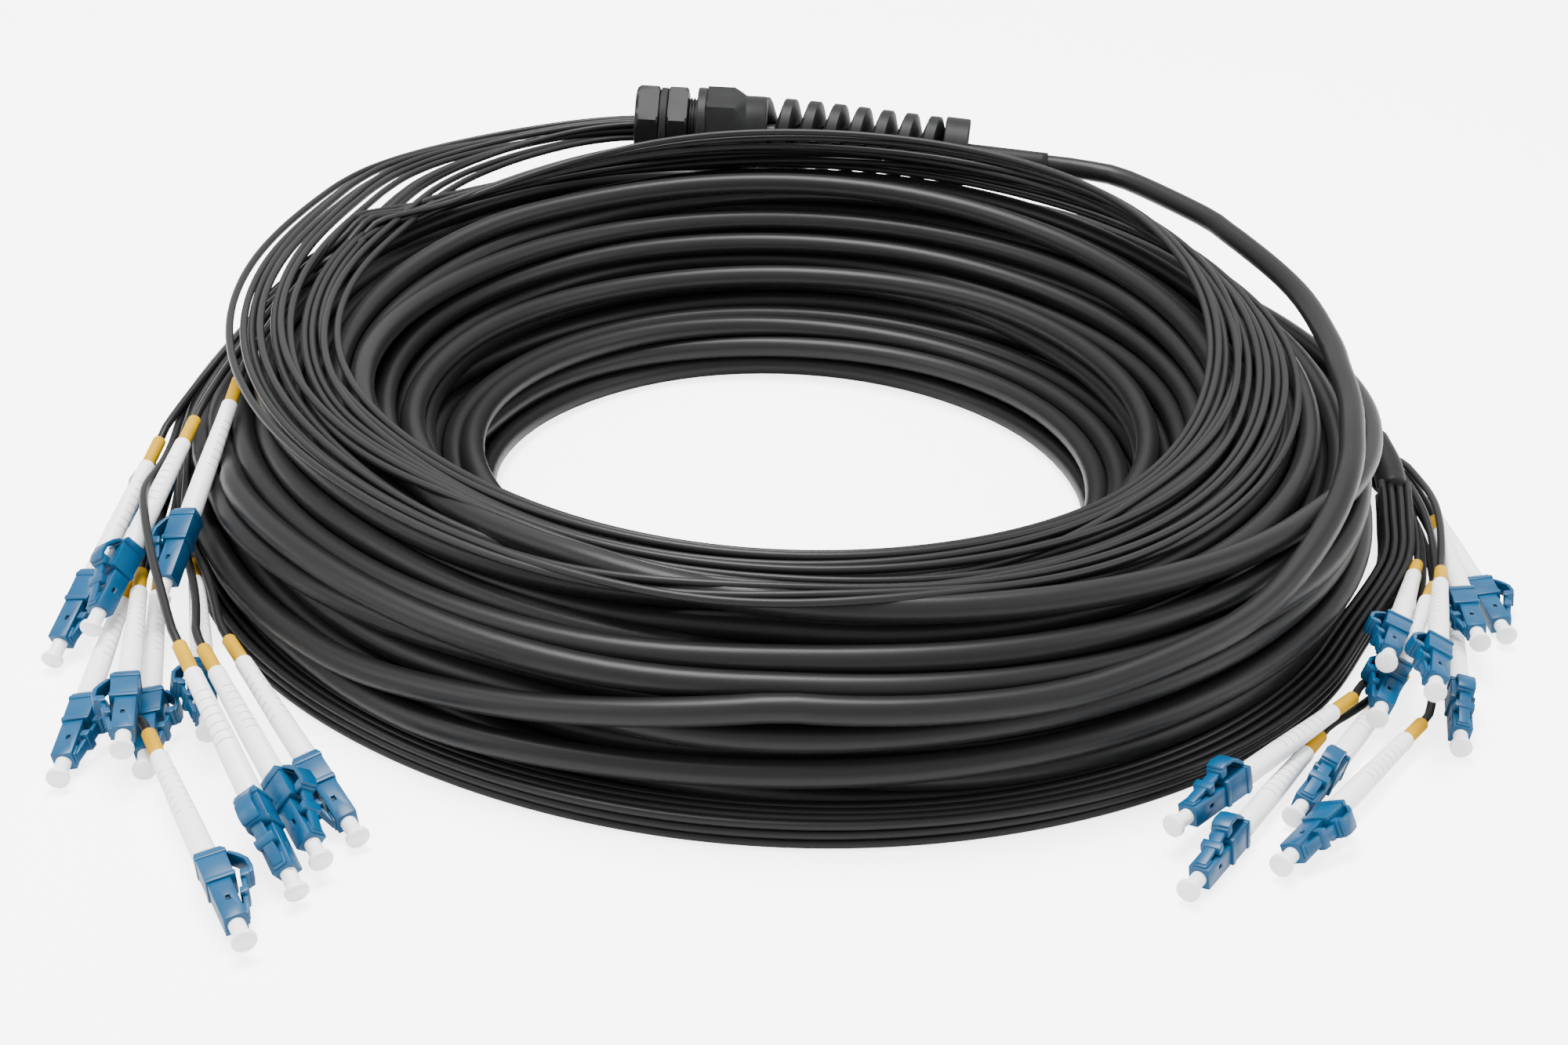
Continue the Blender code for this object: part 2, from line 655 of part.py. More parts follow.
BLACK_JACKET = (0.022, 0.022, 0.023)
BLACK_NYLON = (0.03, 0.03, 0.032)
BLACK_RUBBER = (0.015, 0.015, 0.015)
PLUG_BLUE = (0.01, 0.16, 0.38)

for old in list(bpy.data.objects):
    bpy.data.objects.remove(old, do_unlink=True)

build_coil()
neck_end, ring_end = build_gland()

# The trunk from inside the dome nut, through the bend protector, down over
# the coil's right shoulder and across its front
shrink_end = ring_end + GAP + SHRINK_A_LENGTH
trunk_stations = np.linspace(neck_end + 4 * MM, shrink_end + 3 * MM, 12)
trunk_route = [gland_point(x) for x in trunk_stations]
trunk_route += [Vector(p) * MM for p in (
    (88, 131.5, 52.6), (99, 126, 52.2), (110, 115, 51.5), (121, 96, 50), (134, 75, 46),
    (145, 53, 40), (152, 28, 33), (155.5, 0, 26), (152, -27, 29), (141, -49, 36),
    (124, -69, 42), (97, -93, 44), (66, -112, 44.6), (41, -123, 44.5), (10, -130, 44.2),
    (-22, -133, 43.5), (-45, -130, 42.5))]
trunk_points = smooth_points(trunk_route, 2.0 * TRUNK_D)
tube("trunk_tail_a", trunk_points, TRUNK_D, BLACK_JACKET, 0.55, 3)

shrink_route = [gland_point(ring_end + GAP + SHRINK_A_LENGTH * k / 4) for k in range(5)]
sleeve_on_cable("heat_shrink_a", shrink_route, TRUNK_D, SHRINK_A_D, BLACK_NYLON)

# The near end's legs, as one bundle, from the gland's bore round over the
# coil's crown and back to the left shoulder
lap = []
for degrees in range(168, 168 + 292, 20):
    angle = math.radians(degrees)
    radius = COIL_CROWN_R - 3 * MM
    lap.append(Vector((radius * math.cos(angle), radius * math.sin(angle),
                       coil_height(angle) + LEG_BUNDLE_D / 2 + GAP)))
bundle_a_route = [gland_point(7 * MM), gland_point(-10 * MM)]
bundle_a_route += [Vector(p) * MM for p in ((-84, 139, 57.5), (-105, 120, 59), (-119, 93, 60),
                                            (-123, 60, 61), (-121, 38, 55))]
bundle_a_route += lap
bundle_a_route += [Vector(p) * MM for p in ((-22, 119, 53.5), (-50, 117, 52.8), (-78, 106, 52.2))]
fan_a = FAN_A * MM
bundle_a_route += [Vector((-102, 86, 51.4)) * MM, fan_a]
bundle_a_points = smooth_points(bundle_a_route, 2.4 * LEG_BUNDLE_D)
tube("leg_bundle_a", bundle_a_points, LEG_BUNDLE_D, BLACK_JACKET, 0.5, 4)

# The far end: the trunk comes out of the coil at its right side, and its
# breakout sleeve lets the legs go down to the coil's foot
trunk_b_route = [Vector(p) * MM for p in ((148, 55, 17), (155, 38, 17.5), (159, 20, 16.5),
                                          (160, 8, 15), (159.5, -2, 13.5))]
trunk_b_points = smooth_points(trunk_b_route, TRUNK_D)
tube("trunk_tail_b", trunk_b_points, TRUNK_D, BLACK_JACKET, 0.55, 3)
sleeve_b_route = smooth_points(trunk_b_route[1:], SHRINK_B_LENGTH / 5)
sleeve_on_cable("breakout_sleeve_b", sleeve_b_route[-6:], TRUNK_D, SHRINK_B_D, BLACK_NYLON)

lap_r = COIL_OUTER_R - LEG_RECESS_DEPTH + LEG_BUNDLE_D / 2 + GAP + 0.5 * MM
bundle_b_route = [Vector((159.4, -2.6, 13.4)) * MM, Vector((157.2, -18, 10.0)) * MM,
                  Vector((153.5, -34, 6.5)) * MM]
for degrees in range(-24, -24 - 312, -12):
    angle = math.radians(degrees)
    bundle_b_route.append(Vector((lap_r * math.cos(angle), lap_r * math.sin(angle),
                                  LEG_BUNDLE_D / 2 + GAP)))
fan_b = FAN_B * MM
bundle_b_route += [Vector((161.0, 42.0, 4.8)) * MM, fan_b]
bundle_b_points = smooth_points(bundle_b_route, 2.4 * LEG_BUNDLE_D)
tube("leg_bundle_b", bundle_b_points, LEG_BUNDLE_D, BLACK_JACKET, 0.5, 4)

for name, place in {**CONNECTORS_A, **CONNECTORS_B}.items():
    build_connector("connector_" + name, place)

near_bundle_a = bundle_balls(smooth_points(bundle_a_route, 3 * MM))[:-3]
near_bundle_b = bundle_balls(smooth_points(bundle_b_route, 3 * MM))[:-3]
obstacles_a = connector_balls(CONNECTORS_A) + near_bundle_a + near_bundle_b
way_a = Vector(bundle_a_points[-1] - bundle_a_points[-2]).normalized()
build_legs(CONNECTORS_A, ROUTE_A, FAN_A, way_a, obstacles_a)

near_trunk_a = [(*point, TRUNK_D / 2) for point in smooth_points(trunk_route, 3 * MM)]
near_sleeve_b = [(*point, SHRINK_B_D / 2) for point in smooth_points(trunk_b_route, 3 * MM)]
obstacles_b = connector_balls(CONNECTORS_B) + near_bundle_b + near_trunk_a + near_sleeve_b
way_b = Vector(bundle_b_points[-1] - bundle_b_points[-2]).normalized()
build_legs(CONNECTORS_B, ROUTE_B, FAN_B, way_b, obstacles_b)

for name, places in LEAVE_BEHIND.items():
    _, tail, forward = connector_axis(CONNECTORS_B[name])
    behind = [Vector(p) * MM for p in places] + [tail - forward * 7 * MM, tail - forward * 2 * GAP]
    tube("leg_" + name, smooth_points(behind, 3.5 * LEG_D), LEG_D, BLACK_JACKET, 0.5)
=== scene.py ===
import math

import bpy
import numpy as np
from mathutils import Matrix, Vector


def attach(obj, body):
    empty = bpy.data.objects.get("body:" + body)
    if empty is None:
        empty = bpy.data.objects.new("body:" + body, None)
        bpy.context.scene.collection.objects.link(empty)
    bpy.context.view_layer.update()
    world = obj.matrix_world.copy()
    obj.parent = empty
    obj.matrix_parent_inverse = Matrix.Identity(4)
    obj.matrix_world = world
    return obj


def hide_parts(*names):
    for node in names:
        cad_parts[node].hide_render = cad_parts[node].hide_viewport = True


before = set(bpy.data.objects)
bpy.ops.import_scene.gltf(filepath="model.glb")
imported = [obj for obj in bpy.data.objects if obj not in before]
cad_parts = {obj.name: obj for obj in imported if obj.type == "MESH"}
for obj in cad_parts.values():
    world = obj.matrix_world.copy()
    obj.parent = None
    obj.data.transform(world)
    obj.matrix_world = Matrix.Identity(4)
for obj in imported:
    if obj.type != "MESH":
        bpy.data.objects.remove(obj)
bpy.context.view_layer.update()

MM = 0.001
random_numbers = np.random.default_rng(5)


# Camera, floor and light
# The photo looks down at the coil by about 28 degrees, with its right end a
# little low.  The floor is white and the light is soft and from above.

CAMERA_PLACE = (-0.0009, -0.5048, 0.2614)
CAMERA_TILT = 62.0
CAMERA_ROLL = 2.88

camera_data = bpy.data.cameras.new("photo_camera")
camera_data.lens = 48.6
camera_data.sensor_width = 36.0
camera = bpy.data.objects.new("photo_camera", camera_data)
bpy.context.collection.objects.link(camera)
camera.matrix_world = (
    Matrix.Translation(CAMERA_PLACE)
    @ Matrix.Rotation(math.radians(CAMERA_TILT), 4, "X")
    @ Matrix.Rotation(math.radians(CAMERA_ROLL), 4, "Z")
)
bpy.context.scene.camera = camera

# The floor glows for the camera alone, so that it is white and lights nothing
FLOOR_GLOW = 3.6
bpy.ops.mesh.primitive_plane_add(size=8.0, location=(0.0, 0.0, -0.0002))
floor = bpy.context.object
floor.name = "floor"
floor_paint = bpy.data.materials.new("floor_white")
floor_paint.use_nodes = True
floor_shader = floor_paint.node_tree.nodes["Principled BSDF"]
floor_shader.inputs["Base Color"].default_value = (0.97, 0.97, 0.97, 1.0)
floor_shader.inputs["Roughness"].default_value = 0.6
floor_shader.inputs["Emission Color"].default_value = (1.0, 1.0, 1.0, 1.0)
seen = floor_paint.node_tree.nodes.new("ShaderNodeLightPath")
glow = floor_paint.node_tree.nodes.new("ShaderNodeMath")
glow.operation = "MULTIPLY"
glow.inputs[1].default_value = FLOOR_GLOW
floor_paint.node_tree.links.new(seen.outputs["Is Camera Ray"], glow.inputs[0])
floor_paint.node_tree.links.new(glow.outputs["Value"], floor_shader.inputs["Emission Strength"])
floor.data.materials.append(floor_paint)

world = bpy.data.worlds.new("studio")
world.use_nodes = True
world.node_tree.nodes["Background"].inputs["Color"].default_value = (1.0, 1.0, 1.0, 1.0)
world.node_tree.nodes["Background"].inputs["Strength"].default_value = 1.35
bpy.context.scene.world = world


def soft_box(name, place, aim, width, depth, power):
    """One large soft light, turned to its aim."""
    light = bpy.data.lights.new(name, "AREA")
    light.shape = "RECTANGLE"
    light.size = width
    light.size_y = depth
    light.energy = power
    lamp = bpy.data.objects.new(name, light)
    bpy.context.collection.objects.link(lamp)
    lamp.location = place
    lamp.rotation_euler = (Vector(aim) - Vector(place)).to_track_quat("-Z", "Y").to_euler()


soft_box("overhead_light", (-0.15, 0.15, 1.3), (0.0, 0.0, 0.0), 0.9, 0.5, 50.0)
soft_box("left_light", (-1.2, -0.5, 0.7), (0.0, 0.0, 0.0), 0.7, 0.7, 8.0)
soft_box("right_light", (1.2, -0.2, 0.6), (0.0, 0.0, 0.0), 0.6, 0.7, 6.0)


# Where the connectors lie
# Each end has twelve.  A place is the dust cap's middle, the connector's heading
# and the lift of its tail in degrees, and how far its latch is turned.

CONNECTORS_A = {
    "a01": ((-164, -102, 3.0), -97, 20, 80),
    "a02": ((-164, -49, 3.0), -105, 23, -35),
    "a03": ((-140.5, -95, 16.2), -93, 21, -100),
    "a04": ((-153.5, -104, 13.0), -96, 17, -35),
    "a05": ((-148, -147, 3.0), -86, 6, 80),
    "a06": ((-134, -147, 11.0), -77, 2, -90),
    "a07": ((-131.5, -142.5, 3.0), -77, 5, 80),
    "a08": ((-119.5, -136, 8.7), -73, 2, -80),
    "a09": ((-97, -197, 4.4), -60, 3, 85),
    "a10": ((-91, -180.5, 3.3), -57, 16, -35),
    "a11": ((-88, -172.5, 5.0), -57, 9, 35),
    "a12": ((-83, -162, 3.0), -55, 8, -100),
}
CONNECTORS_B = {
    "b01": ((82, -149, 6.5), -133, 1, -15),
    "b02": ((83, -166, 3.2), -123, 0, -10),
    "b03": ((109, -139, 3.2), -122, 0, 10),
    "b04": ((103, -157, 3.8), -127, 0, 60),
    "b05": ((135.5, -97.5, 17.2), -110.5, -8, -75),
    "b06": ((142.5, -112, 19.0), -106, -5, -70),
    "b07": ((132.5, -108, 9.0), -114, -1, -75),
    "b08": ((152, -109, 3.0), -103, 0, 5),
    "b09": ((163.5, -76, 11), -96, -3, -100),
    "b10": ((176, -59, 3.4), -88, 0, 80),
    "b11": ((120, 114, 3.0), -36, 0, 0),
    "b12": ((34, 164, 3.0), -12, 0, 0),
}
# The lengths of a connector's pieces along it
CAP_HEAD_LENGTH = 1.5 * MM
CAP_LENGTH = 5.6 * MM
PLUG_LENGTH = 11.5 * MM
SHELL_LENGTH = 9.0 * MM
BOOT_LENGTH = 36.0 * MM
SLEEVE_LENGTH = 8.5 * MM
BOOT_START = CAP_LENGTH + PLUG_LENGTH + SHELL_LENGTH
CONNECTOR_LENGTH = BOOT_START + BOOT_LENGTH + SLEEVE_LENGTH


def connector_axes(place):
    """A connector's tip, the way it points, and the way to its latch."""
    centre, heading, tip_up, latch_turn = place
    level = math.cos(math.radians(tip_up))
    forward = Vector((level * math.cos(math.radians(heading)),
                      level * math.sin(math.radians(heading)),
                      -math.sin(math.radians(tip_up))))
    side = Vector((0.0, 0.0, 1.0)).cross(forward).normalized()
    up = forward.cross(side)
    turn = math.radians(latch_turn)
    latch_way = up * math.cos(turn) + side * math.sin(turn)
    return Vector(centre) * MM + forward * CAP_HEAD_LENGTH / 2, forward, latch_way


def connector_tail(place):
    """The end of a connector's sleeve, where its leg goes in, and the way it points."""
    tip, forward, _ = connector_axes(place)
    return tip - forward * CONNECTOR_LENGTH, forward


# Trunk cable
# About 46 m of round black cable, wound by hand into a coil: each turn lies
# in the hollows of those below it and drifts across them.  Its far end leaves
# at the right, and its near end crosses the front and loops up to the gland.

TRUNK_D = 6.2 * MM
COIL_BORE_R = 80.0 * MM
COIL_CROWN_R = 123.0 * MM
COIL_OUTER_R = 151.0 * MM
COIL_HEIGHT_BACK = 48.0 * MM
COIL_HEIGHT_FRONT = 41.0 * MM
COIL_INNER_FULLNESS = 1.4
COIL_OUTER_FULLNESS = 2.4
LEG_RECESS_DEPTH = 5.0 * MM
STEPS_A_TURN = 72


def coil_height(angle):
    """The coil stands a little taller at the back than at the front."""
    middle = (COIL_HEIGHT_BACK + COIL_HEIGHT_FRONT) / 2
    swing = (COIL_HEIGHT_BACK - COIL_HEIGHT_FRONT) / 2
    return middle + swing * np.sin(angle)


def coil_slots():
    """Where the turns lie in the coil's section, from the floor up."""
    wall = TRUNK_D / 2
    height = (COIL_HEIGHT_BACK + COIL_HEIGHT_FRONT) / 2 - 2 * wall
    slots = []
    row_pitch = TRUNK_D * 0.885
    rows = int(height / row_pitch) + 1
    for row in range(rows):
        up = row * row_pitch / height
        inner = COIL_CROWN_R - (COIL_CROWN_R - COIL_BORE_R - wall) * (
            1 - up**COIL_INNER_FULLNESS) ** (1 / COIL_INNER_FULLNESS)
        outer = COIL_CROWN_R + (COIL_OUTER_R - COIL_CROWN_R - wall) * (
            1 - up**COIL_OUTER_FULLNESS) ** (1 / COIL_OUTER_FULLNESS)
        if row < 2:
            outer = COIL_OUTER_R - LEG_RECESS_DEPTH - wall
        count = max(1, int((outer - inner) / (TRUNK_D * 1.02)) + 1)
        places = [outer - k * (outer - inner) / max(1, count - 1) for k in range(count)]
        if row % 2:
            places.reverse()
        slots += [(radius, wall + row * row_pitch) for radius in places]
    return slots


def section_route(places, start, steps):
    """A route of places in millimetres, as (radius, height) at each step round the coil."""
    places = np.array(places) * MM
    angle = np.unwrap(np.arctan2(places[:, 1], places[:, 0]))
    radius = np.hypot(places[:, 0], places[:, 1])
    at = start + 2 * math.pi * np.arange(steps) / STEPS_A_TURN
    return np.stack((np.interp(at, angle, radius), np.interp(at, angle, places[:, 2])), axis=1)


# From the far end's breakout into the coil, and from the coil's front over to
# the gland's bend protector, both the way round that the turns go
FAR_END_ROUTE = [(159.5, -2, 13.5), (160, 8, 15), (159, 20, 16.5), (155, 38, 17.5), (148, 55, 17)]
NEAR_END_ROUTE = [
    (-94, -56, 40.5), (-69, -102, 44.5), (-50, -119, 44.2), (-32, -129, 43.5), (0, -134, 43.0),
    (32, -128, 43.8), (62, -117, 44.2), (82, -106, 43.8), (104, -89, 42.5), (128, -60, 38.5),
    (144, -30, 33.5), (150, 4, 30), (146, 40, 30), (133, 72, 31), (104, 107, 32), (55, 138, 33),
    (0, 148, 34), (-62, 135, 31), (-112, 99, 26), (-143, 52, 21), (-151, 15, 17), (-147, -29, 15.5),
    (-136, -64, 15), (-118, -94, 15), (-90, -122, 17), (-52, -141, 22), (-20, -148, 27),
    (1, -148.5, 30), (33, -145.5, 29.6), (62, -135.5, 29.2), (81, -124.5, 31), (103, -107.5, 34),
    (120, -83, 39.5), (131, -58, 43.6), (137, -32, 45.2), (140.5, 1, 45.5), (141, 30, 45.8),
    (138, 56, 46.8), (131, 76, 48.2), (121, 96, 50.2), (110, 115, 51.5)]


def bulge(middle, width, out, up):
    """How far a loose stretch of a turn stands out, as (radius, height) steps."""
    angle = np.degrees(2 * math.pi * np.arange(STEPS_A_TURN) / STEPS_A_TURN)
    apart = np.abs((angle - middle + 180) % 360 - 180) / width
    share = np.where(apart < 1, 0.5 + 0.5 * np.cos(math.pi * np.clip(apart, 0, 1)), 0.0)
    return np.stack((share * out * MM, share * up * MM), axis=1)


# The near end's route starts and ends at these angles.  Its last steps are held
# on the route, and the last turn blends into it over the steps before.
NEAR_END_LEAVES = 211
NEAR_END_ARRIVES = 46
HELD_STEPS = 38
BLEND_STEPS = 22
# How the turns drift: swings a turn, and how far in millimetres
SWAYS = ((0.37, 2.3), (0.83, 2.1), (1.31, 1.6), (2.2, 0.6))
# Loose stretches, by the number of the low outer turn, and the last turns, which
# ride higher at the back: middle and width in degrees, out and up in millimetres
LOOSE_STRETCHES = {1: (152, 44, 30, -2), 3: (158, 46, 16, 0), 2: (244, 30, 5, 0)}
RAISED_TURNS = 5
RAISED_STRETCH = (80, 88, 1, 12)


def wind_coil():
    """The middle line of the coiled cable, as (radius, height) at even steps."""
    slots = coil_slots()
    lead = slots.index(min(slots, key=lambda s: abs(s[1] - 17 * MM) * 3 + abs(s[0] - 148 * MM)))
    slots = [slots[lead]] + slots[:lead] + slots[lead + 1:]
    turns = len(slots)
    steps = (turns + 3) * STEPS_A_TURN
    leaves = round(STEPS_A_TURN * NEAR_END_LEAVES / 360)
    finish = (turns + 2) * STEPS_A_TURN + round(STEPS_A_TURN * NEAR_END_ARRIVES / 360)
    step = np.arange(steps)
    turn = np.minimum(step // STEPS_A_TURN, turns - 1)
    around = (step % STEPS_A_TURN) / STEPS_A_TURN
    here = np.array(slots)[turn]
    after = np.array(slots + slots[-1:])[turn + 1]
    shift = random_numbers.uniform(0.1, 0.6, turns)[turn]
    part = np.clip((around - shift) / 0.35, 0.0, 1.0)
    part = part * part * (3 - 2 * part)
    target = here + (after - here) * part[:, None]
    target[:, 1] *= coil_height(2 * math.pi * around) / coil_height(0.0)
    sway = 2 * math.pi * step / STEPS_A_TURN
    for rate, reach in SWAYS:
        offset = random_numbers.uniform(0, 6.28, 2)
        target[:, 0] += reach * MM * np.sin(rate * sway + offset[0])
        target[:, 1] += 0.6 * reach * MM * np.sin(rate * sway * 1.1 + offset[1])
    outer_low = [k for k, (r, z) in enumerate(slots) if r > 138 * MM and z < 22 * MM]
    stretches = [(outer_low[k], stretch) for k, stretch in LOOSE_STRETCHES.items()]
    stretches += [(k, RAISED_STRETCH) for k in range(turns - RAISED_TURNS, turns)]
    for number, stretch in stretches:
        target[number * STEPS_A_TURN:(number + 1) * STEPS_A_TURN] += bulge(*stretch)
    held = np.zeros(steps, bool)
    entry = len(FAR_END_ROUTE)
    target[:entry] = section_route(FAR_END_ROUTE, 0.0, entry)
    held[:entry] = True
    last = turns * STEPS_A_TURN + leaves
    near = section_route(NEAR_END_ROUTE, math.radians(NEAR_END_LEAVES - 360), finish - last)
    target[last:finish] = near
    held[finish - HELD_STEPS:finish] = True
    blend_in = np.linspace(0.0, 1.0, BLEND_STEPS)[:, None]
    target[last - BLEND_STEPS:last] += (near[0] - target[last - BLEND_STEPS:last]) * blend_in**2
    live = step < finish
    return settle_turns(target, held, live), finish


# The gland's axis, which the turns under it keep clear of.  The lock nut's outer
# face is at its start, and past the dome nut it bends down a little.
GLAND_END = Vector((-53.5, 141.6, 56.0)) * MM
GLAND_BEND_START = 40.0 * MM
GLAND_BEND_LENGTH = 22.0 * MM
GLAND_BEND = Vector((1.0, -0.105, -0.037))
GLAND_LENGTH = 105.0 * MM


def gland_point(x):
    """A point on the gland's axis, x along it from the lock nut's outer face."""
    past = max(0.0, x - GLAND_BEND_START)
    lean = past * past / (2 * GLAND_BEND_LENGTH)
    if past > GLAND_BEND_LENGTH:
        lean = past - GLAND_BEND_LENGTH / 2
    return GLAND_END + Vector((x, GLAND_BEND.y * lean, GLAND_BEND.z * lean))


# How far the turns keep from the gland's axis, and from the far end's legs,
# which lie on the floor at the coil's foot
GLAND_CLEAR = 17.2 * MM
FLOOR_LAP = np.array((151.0, 3.2)) * MM
FLOOR_LAP_CLEAR = 8.2 * MM


def settle_turns(target, held, live):
    """Lets the turns lie beside and on each other, at every step round the coil."""
    wall = TRUNK_D / 2
    place = target.copy()
    rows = len(place) // STEPS_A_TURN
    alive = live.reshape(rows, STEPS_A_TURN)
    both = alive[:, None] & alive[None, :] & ~np.eye(rows, dtype=bool)[:, :, None]
    loose = (live & ~held)
    angle = 2 * math.pi * np.arange(STEPS_A_TURN) / STEPS_A_TURN
    gland_way = np.array([gland_point(x) for x in np.linspace(0.0, GLAND_LENGTH, 40)], float)
    gland_angle = np.arctan2(gland_way[:, 1], gland_way[:, 0])[::-1]
    over = (angle > gland_angle[0] - 0.05) & (angle < gland_angle[-1] + 0.05)
    gland_r = np.interp(angle, gland_angle, np.hypot(gland_way[:, 0], gland_way[:, 1])[::-1])
    gland_z = np.interp(angle, gland_angle, gland_way[::-1, 2])
    rounds = 150
    for turn in range(rounds):
        late = turn > rounds * 0.8
        grid = place.reshape(rows, STEPS_A_TURN, 2)
        apart = grid[:, None] - grid[None, :]
        far = np.sqrt((apart**2).sum(axis=-1)) + 1e-9
        short = np.where(both & (far < TRUNK_D), TRUNK_D - far, 0.0)
        push = (apart * (short / far)[..., None]).sum(axis=1) * 0.42
        away = grid - np.stack((gland_r, gland_z), axis=1)[None]
        far = np.sqrt((away**2).sum(axis=-1)) + 1e-9
        short = np.where(over[None] & (far < GLAND_CLEAR), GLAND_CLEAR - far, 0.0)
        push += away * (short / far)[..., None] * 0.6
        away = grid - FLOOR_LAP
        far = np.sqrt((away**2).sum(axis=-1)) + 1e-9
        short = np.where(far < FLOOR_LAP_CLEAR, FLOOR_LAP_CLEAR - far, 0.0)
        push += away * (short / far)[..., None] * 0.6
        push = push.reshape(-1, 2)
        if not late:
            push += (target - place) * 0.05
        place[loose] += push[loose]
        for _ in range(1 if late else 3):
            ease = np.zeros_like(place)
            ease[1:-1] = (place[:-2] + place[2:]) / 2 - place[1:-1]
            ease[~loose] = 0.0
            place += ease * (0.25 if late else 0.5)
        place[:, 1] = np.maximum(place[:, 1], wall)
    return place


def line_walk(points):
    """How far along the line each of its points is."""
    steps = np.linalg.norm(np.diff(points, axis=0), axis=1)
    return np.concatenate(([0.0], np.cumsum(steps)))


def smooth_points(route, spacing):
    """Evenly spaced points on a smooth curve through the route's own points."""
    knots = np.array(route, float)
    first = 2 * knots[0] - knots[1]
    last = 2 * knots[-1] - knots[-2]
    padded = np.vstack((first, knots, last))
    a, b, c, d = padded[:-3, None], padded[1:-2, None], padded[2:-1, None], padded[3:, None]
    t = np.linspace(0.0, 1.0, 16, endpoint=False)[None, :, None]
    fine = 0.5 * (2 * b + (c - a) * t + (2 * a - 5 * b + 4 * c - d) * t**2
                  + (3 * b - a - 3 * c + d) * t**3)
    fine = np.vstack((fine.reshape(-1, 3), knots[-1:]))
    walked = line_walk(fine)
    steps = max(2, round(walked[-1] / spacing))
    at = np.linspace(0.0, walked[-1], steps + 1)
    return np.stack([np.interp(at, walked, fine[:, k]) for k in range(3)], axis=1)


# The connectors that lean on the coil, and how many of the cable's last points
# stay as they are, at the gland
LEAN_ON_COIL = ("a03", "b05", "b07")
HELD_AT_GLAND = 60


def clear_of_connectors(line):
    """Eases the outer turns off the connectors that lean on the coil."""
    line = line.copy()
    for name in LEAN_ON_COIL:
        tip, forward, _ = connector_axes({**CONNECTORS_A, **CONNECTORS_B}[name])
        back = np.arange(CAP_LENGTH, CONNECTOR_LENGTH - SLEEVE_LENGTH, 1.0 * MM)
        axis = np.array(tip) - back[:, None] * np.array(forward)
        need = np.where(back < BOOT_START, 3.6 * MM, 2.7 * MM) + TRUNK_D / 2
        near = np.linalg.norm(line - axis.mean(axis=0), axis=1) < 70 * MM
        near[-HELD_AT_GLAND:] = False
        for _ in range(16):
            away = line[near, None] - axis[None]
            far = np.linalg.norm(away, axis=2)
            short = np.clip(need - far, 0.0, None)
            worst = short.argmax(axis=1)
            row = np.arange(len(worst))
            move = np.zeros_like(line)
            move[near] = away[row, worst] * (short[row, worst] / far[row, worst])[:, None] * 0.8
            for _ in range(2):
                move[1:-1] = move[:-2] / 4 + move[1:-1] / 2 + move[2:] / 4
            line += move
    line[:, 2] = np.maximum(line[:, 2], TRUNK_D / 2)
    return line


def add_node(tree, kind, **settings):
    """A node with values on its sockets, their spaces written as underscores."""
    node = tree.nodes.new(kind)
    for socket, value in settings.items():
        node.inputs[socket.replace("_", " ")].default_value = value
    return node


def effect_group(name, inputs, output, kind):
    """A node group with named inputs and one named output: itself and its end nodes."""
    group = bpy.data.node_groups.new(name, "ShaderNodeTree")
    for label, socket in inputs.items():
        group.interface.new_socket(label, in_out="INPUT", socket_type="NodeSocket" + socket)
    group.interface.new_socket(output, in_out="OUTPUT", socket_type="NodeSocket" + kind)
    return group, group.nodes.new("NodeGroupInput"), group.nodes.new("NodeGroupOutput")


def mix_by_noise(group, given, result, noise):
    """Puts out Dark to Light by a noise, where it goes from 0.3 to 0.7."""
    share = add_node(group, "ShaderNodeMapRange", From_Min=0.3, From_Max=0.7)
    group.links.new(noise.outputs["Fac"], share.inputs["Value"])
    mixed = group.nodes.new("ShaderNodeMix")
    mixed.data_type = "RGBA"
    group.links.new(share.outputs["Result"], mixed.inputs["Factor"])
    group.links.new(given.outputs["Dark"], mixed.inputs["A"])
    group.links.new(given.outputs["Light"], mixed.inputs["B"])
    group.links.new(mixed.outputs["Result"], result.inputs["Colour"])


def drawn_streaks():
    """Faint streaks along an extruded jacket, from its UV map."""
    group, given, result = effect_group(
        "drawn_streaks", {"Stretch": "Vector", "Dark": "Color", "Light": "Color"}, "Colour", "Color")
    place = group.nodes.new("ShaderNodeUVMap")
    stretch = group.nodes.new("ShaderNodeMapping")
    group.links.new(place.outputs["UV"], stretch.inputs["Vector"])
    group.links.new(given.outputs["Stretch"], stretch.inputs["Scale"])
    streak = add_node(group, "ShaderNodeTexNoise", Scale=1.0, Detail=4.0)
    group.links.new(stretch.outputs["Vector"], streak.inputs["Vector"])
    mix_by_noise(group, given, result, streak)
    return group


def fine_grain():
    """The fine grain of a jacket or a moulding, as a height."""
    group, given, result = effect_group("fine_grain", {"Fineness": "Float"}, "Height", "Float")
    place = group.nodes.new("ShaderNodeTexCoord")
    grain = add_node(group, "ShaderNodeTexNoise", Detail=2.0)
    group.links.new(given.outputs["Fineness"], grain.inputs["Scale"])
    group.links.new(place.outputs["Object"], grain.inputs["Vector"])
    group.links.new(grain.outputs["Fac"], result.inputs["Height"])
    return group


streaks_effect = drawn_streaks()
grain_effect = fine_grain()


def put_effect(tree, group, **settings):
    """An effect's group, placed in a finish with its own values."""
    node = tree.nodes.new("ShaderNodeGroup")
    node.node_tree = group
    for socket, value in settings.items():
        node.inputs[socket].default_value = value
    return node


def new_finish(name, colour, roughness, gloss=0.5):
    """A Principled finish: the material, its node tree and its shader."""
    material = bpy.data.materials.new(name)
    material.use_nodes = True
    shader = material.node_tree.nodes["Principled BSDF"]
    shader.inputs["Base Color"].default_value = (*colour, 1.0)
    shader.inputs["Roughness"].default_value = roughness
    shader.inputs["Specular IOR Level"].default_value = gloss
    return material, material.node_tree, shader


